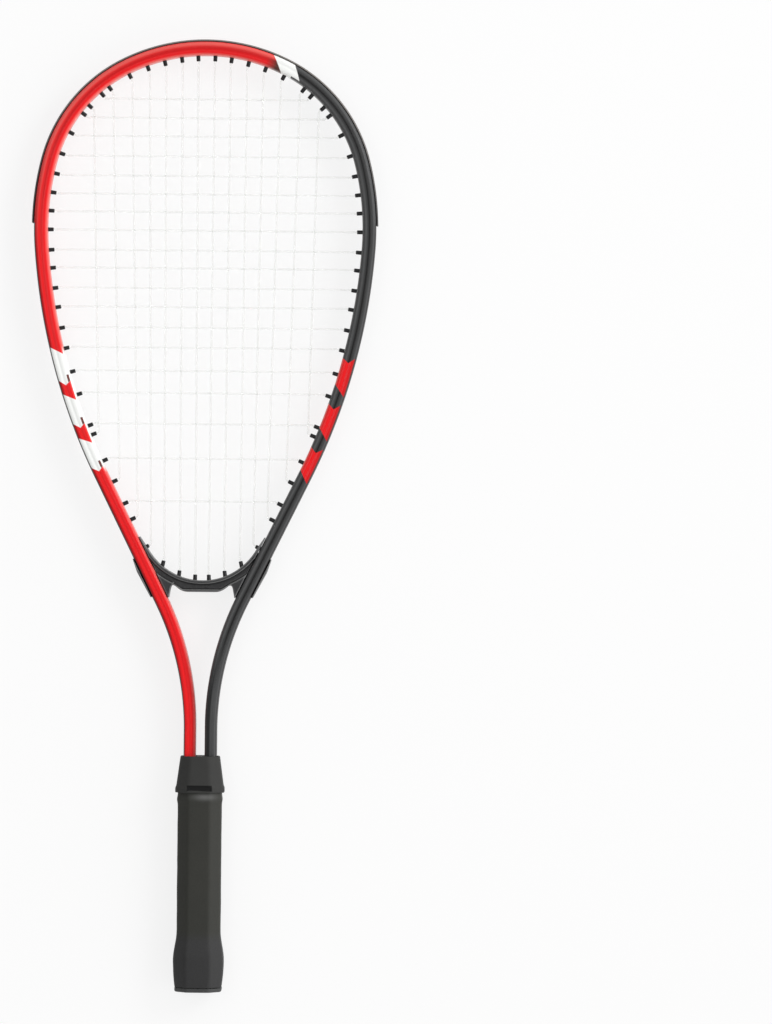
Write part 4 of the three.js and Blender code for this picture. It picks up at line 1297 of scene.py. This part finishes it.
def grip_wrap():
    """The sleeve: a thin wall between a rolled outside and a plain inside."""
    lip = WRAP_WALL * WRAP_LIP_SHARE
    ends = (WRAP_END_HEIGHT, WRAP_TOP_HEIGHT)
    count = round((WRAP_TOP_HEIGHT - WRAP_END_HEIGHT) / WRAP_RING_STEP)
    heights = np.linspace(WRAP_END_HEIGHT + lip, WRAP_TOP_HEIGHT - lip, count)
    outer = [rolled(ring, height) for ring, height in zip(grip_rings(heights), heights)]
    first, last = grip_rings(ends, lip)
    inner = grip_rings(np.linspace(*ends[::-1], WRAP_INNER_RINGS), WRAP_WALL)
    shells = Shells().add([first, *outer, last, *inner], looped=True)
    made = piece("grip_sleeve", shells, GRIP_SKIN, "grip_skin", "grip_wrap", angle=SLEEVE_ANGLE)


def shell_size(gap):
    """The handle shells' width and depth, grown by a gap each side."""
    return GRIP_SIZE - 2 * (WRAP_WALL + FIT_GAP - gap)


def butt_cap():
    """A cup inside the sleeve's end, with a rounded flange below it."""
    skirt_top = (FLARE_HEIGHT + SWELL_HEIGHT) / 2
    flange = WRAP_END_HEIGHT - FIT_GAP
    pocket = shell_size(FIT_GAP)
    edge = grip_size(WRAP_END_HEIGHT)
    rings = [octagon(height, pocket) for height in (SHELL_END_HEIGHT - FIT_GAP, skirt_top)]
    rings += grip_rings(np.linspace(skirt_top, flange, CAP_RINGS), WRAP_WALL + FIT_GAP)
    for share in np.linspace(FLANGE_LIP_SHARE, 0, FLANGE_RINGS):
        height = flange - (FLANGE_LIP_SHARE - share) * BUTT_CHAMFER
        rings.append(octagon(height, edge - 2 * share * BUTT_CHAMFER))
    for turn in np.linspace(0, math.pi / 2, CHAMFER_RINGS):
        height = BUTT_CHAMFER * (1 - math.sin(turn))
        rings.append(octagon(height, edge - 2 * BUTT_CHAMFER * (1 - math.cos(turn))))
    shells = Shells().add(rings)
    piece("butt_cap_moulded", shells, BLACK_RUBBER, "collar_rubber", "butt_cap", angle=CAP_ANGLE)


def leg_channel(side):
    """The cut for one leg through the collar, with chamfered corners."""
    half_wide, half_deep = LEG_WIDTH / 2 + FIT_GAP, HALF_DEPTH + FIT_GAP
    corner = LEG_CHANNEL_CHAMFER
    section = above_and_below([
        [half_wide, half_deep - corner], [half_wide - corner, half_deep],
        [corner - half_wide, half_deep], [-half_wide, half_deep - corner]])
    section += [side * LEG_SPACING / 2, 0]
    return [laid(section, height) for height in (COLLAR_END_HEIGHT, COLLAR_TOP_HEIGHT + CUT_OVERRUN)]


def slot_cut():
    """The cut for the collar's front slot, which slants a little."""
    front = COLLAR_SKIRT_SIZE[1] / 2
    outline = [
        [side * SLOT_WIDTH / 2, BUTT_LEVEL + SLOT_HEIGHT + rise * SLOT_TALL / 2 - side * SLOT_SLANT]
        for side, rise in SQUARE]
    return prism(outline, front - SLOT_DEEP, front + CUT_OVERRUN)


def grip_collar():
    """The rubber ferrule: a tapered roof over the legs, a rimmed skirt over the sleeve, a front slot."""
    profile = (
        (COLLAR_TOP_HEIGHT, COLLAR_TOP_SIZE), (COLLAR_WAIST_HEIGHT, COLLAR_WAIST_SIZE),
        (COLLAR_SKIRT_HEIGHT, COLLAR_SKIRT_SIZE), (COLLAR_END_HEIGHT, COLLAR_SKIRT_SIZE))
    outer = [octagon(height, size, COLLAR_ROUND) for height, size in profile]
    below = COLLAR_END_HEIGHT - CUT_OVERRUN
    hollows = (
        (COLLAR_TOP_HEIGHT - COLLAR_ROOF, shell_size(FIT_GAP)),
        (COLLAR_END_HEIGHT + COLLAR_LIP, GRIP_SIZE + 2 * FIT_GAP))
    tools = [[octagon(top, size), octagon(below, size)] for top, size in hollows]
    tools += [slot_cut(), leg_channel(-1), leg_channel(1)]
    mesh = moulded("grip_collar_moulded", [outer], tools)
    piece("grip_collar_moulded", mesh, COLLAR_RUBBER, "collar_rubber", "grip_collar", angle=ROUND_ANGLE)


def dress_hidden_parts():
    """The parts inside the handle keep their solids and get their own materials."""
    for name, node in frame["nodes"].items():
        if name.startswith(("handle_shell", "leg_pin", "handle_screw", "butt_tack")):
            coat(node.data, PALE_PLASTIC if name.startswith("handle_shell") else STEEL)


# Stage: a lamp is a place, a size and a power
FLOOR_REACH = 8.0
FLOOR_TONE = 0.9
FLOOR_GLOW = 0.8
KEY_LAMP = ((1.5, 0.9, 1.4), 0.9, 12.0)
FILL_LAMP = ((-0.5, 0.2, 1.9), 0.9, 5.0)
SKY_STOPS = ((0.0, 1.0), (0.55, 1.0), (0.85, 0.6), (1.0, 0.12))


def floor():
    """A white floor: its colour and a steady glow for the camera, with the racket's shadow kept faint."""
    mesh = bpy.data.meshes.new("floor")
    corners = [(across * FLOOR_REACH, along * FLOOR_REACH, 0) for across, along in SQUARE]
    mesh.from_pydata(corners, [], [(0, 1, 2, 3)])
    recipe = new_recipe("white_floor", Roughness=FLOOR_TONE)
    recipe.feed(recipe.shader.inputs["Base Color"], (FLOOR_TONE, FLOOR_TONE, FLOOR_TONE))
    seen = 0.0
    for kind in ("Camera", "Glossy", "Transmission"):
        seen = recipe.either(recipe.field("ShaderNodeLightPath", f"Is {kind} Ray"), seen)
    glow = recipe.field("ShaderNodeEmission", 0, {"Color": FULL, "Strength": 1.0})
    surface = Field(recipe, recipe.shader.outputs[0])
    mixed = recipe.field("ShaderNodeMixShader", 0, {0: seen * FLOOR_GLOW, 1: surface, 2: glow})
    recipe.feed(recipe.tree.nodes["Material Output"].inputs["Surface"], mixed)
    coat(mesh, recipe.owner)
    new_object("floor", mesh)


def sky():
    """A soft studio: bright walls all round, brightest on the right, and a dimmer ceiling."""
    recipe = Recipe(bpy.data.worlds.new("studio"), "Background")
    x, _, z = recipe.split(recipe.field("ShaderNodeTexCoord", "Generated"))
    ramp = recipe.node("ShaderNodeValToRGB", {0: z})
    for _ in SKY_STOPS[2:]:
        ramp.color_ramp.elements.new(0.5)
    for element, (position, level) in zip(ramp.color_ramp.elements, SKY_STOPS):
        given(element, position=position, color=(level, level, level, 1.0))
    recipe.feed(recipe.shader.inputs["Color"], Field(recipe, ramp.outputs["Color"]))
    recipe.feed(recipe.shader.inputs["Strength"], x * SKY_LEAN + 1.0)
    bpy.context.scene.world = recipe.owner


def lamp(name, place, size, power):
    data = given(bpy.data.lights.new(name, "AREA"), shape="DISK", size=size, energy=power)
    way = (-Vector(place)).to_track_quat("-Z", "Y").to_euler()
    new_object(name, data, location=place, rotation_euler=way)


def camera():
    """Straight over the racket, far off, framed as in the photograph."""
    metres_per_pixel = (HEAD_TOP - BUTT_LEVEL) / RACKET_PIXEL_LENGTH
    lens = SENSOR_SIZE * CAMERA_DISTANCE / (PHOTO_HEIGHT * metres_per_pixel)
    data = bpy.data.cameras.new("camera")
    given(data, sensor_fit="VERTICAL", sensor_height=SENSOR_SIZE, lens=lens)
    right = (PHOTO_WIDTH / 2 - RACKET_PIXEL[0]) * metres_per_pixel
    up = (RACKET_PIXEL[1] - PHOTO_HEIGHT / 2) * metres_per_pixel
    cosine, sine = math.cos(RACKET_LEAN), math.sin(RACKET_LEAN)
    place = (right * cosine - up * sine, right * sine + up * cosine, MIDDLE_LEVEL + CAMERA_DISTANCE)
    made = new_object("camera", data, location=place, rotation_euler=(0, 0, RACKET_LEAN))
    bpy.context.scene.camera = made


camera()
frame_tube()
head_bumper_strip()
side_strip(-1, "left")
side_strip(1, "right")
bridge_grommet_strip()
strings()
throat_bridge()
grip_wrap()
butt_cap()
grip_collar()
dress_hidden_parts()
floor()
sky()
lamp("key", *KEY_LAMP)
lamp("fill", *FILL_LAMP)
bpy.context.scene.view_settings.view_transform = "Standard"
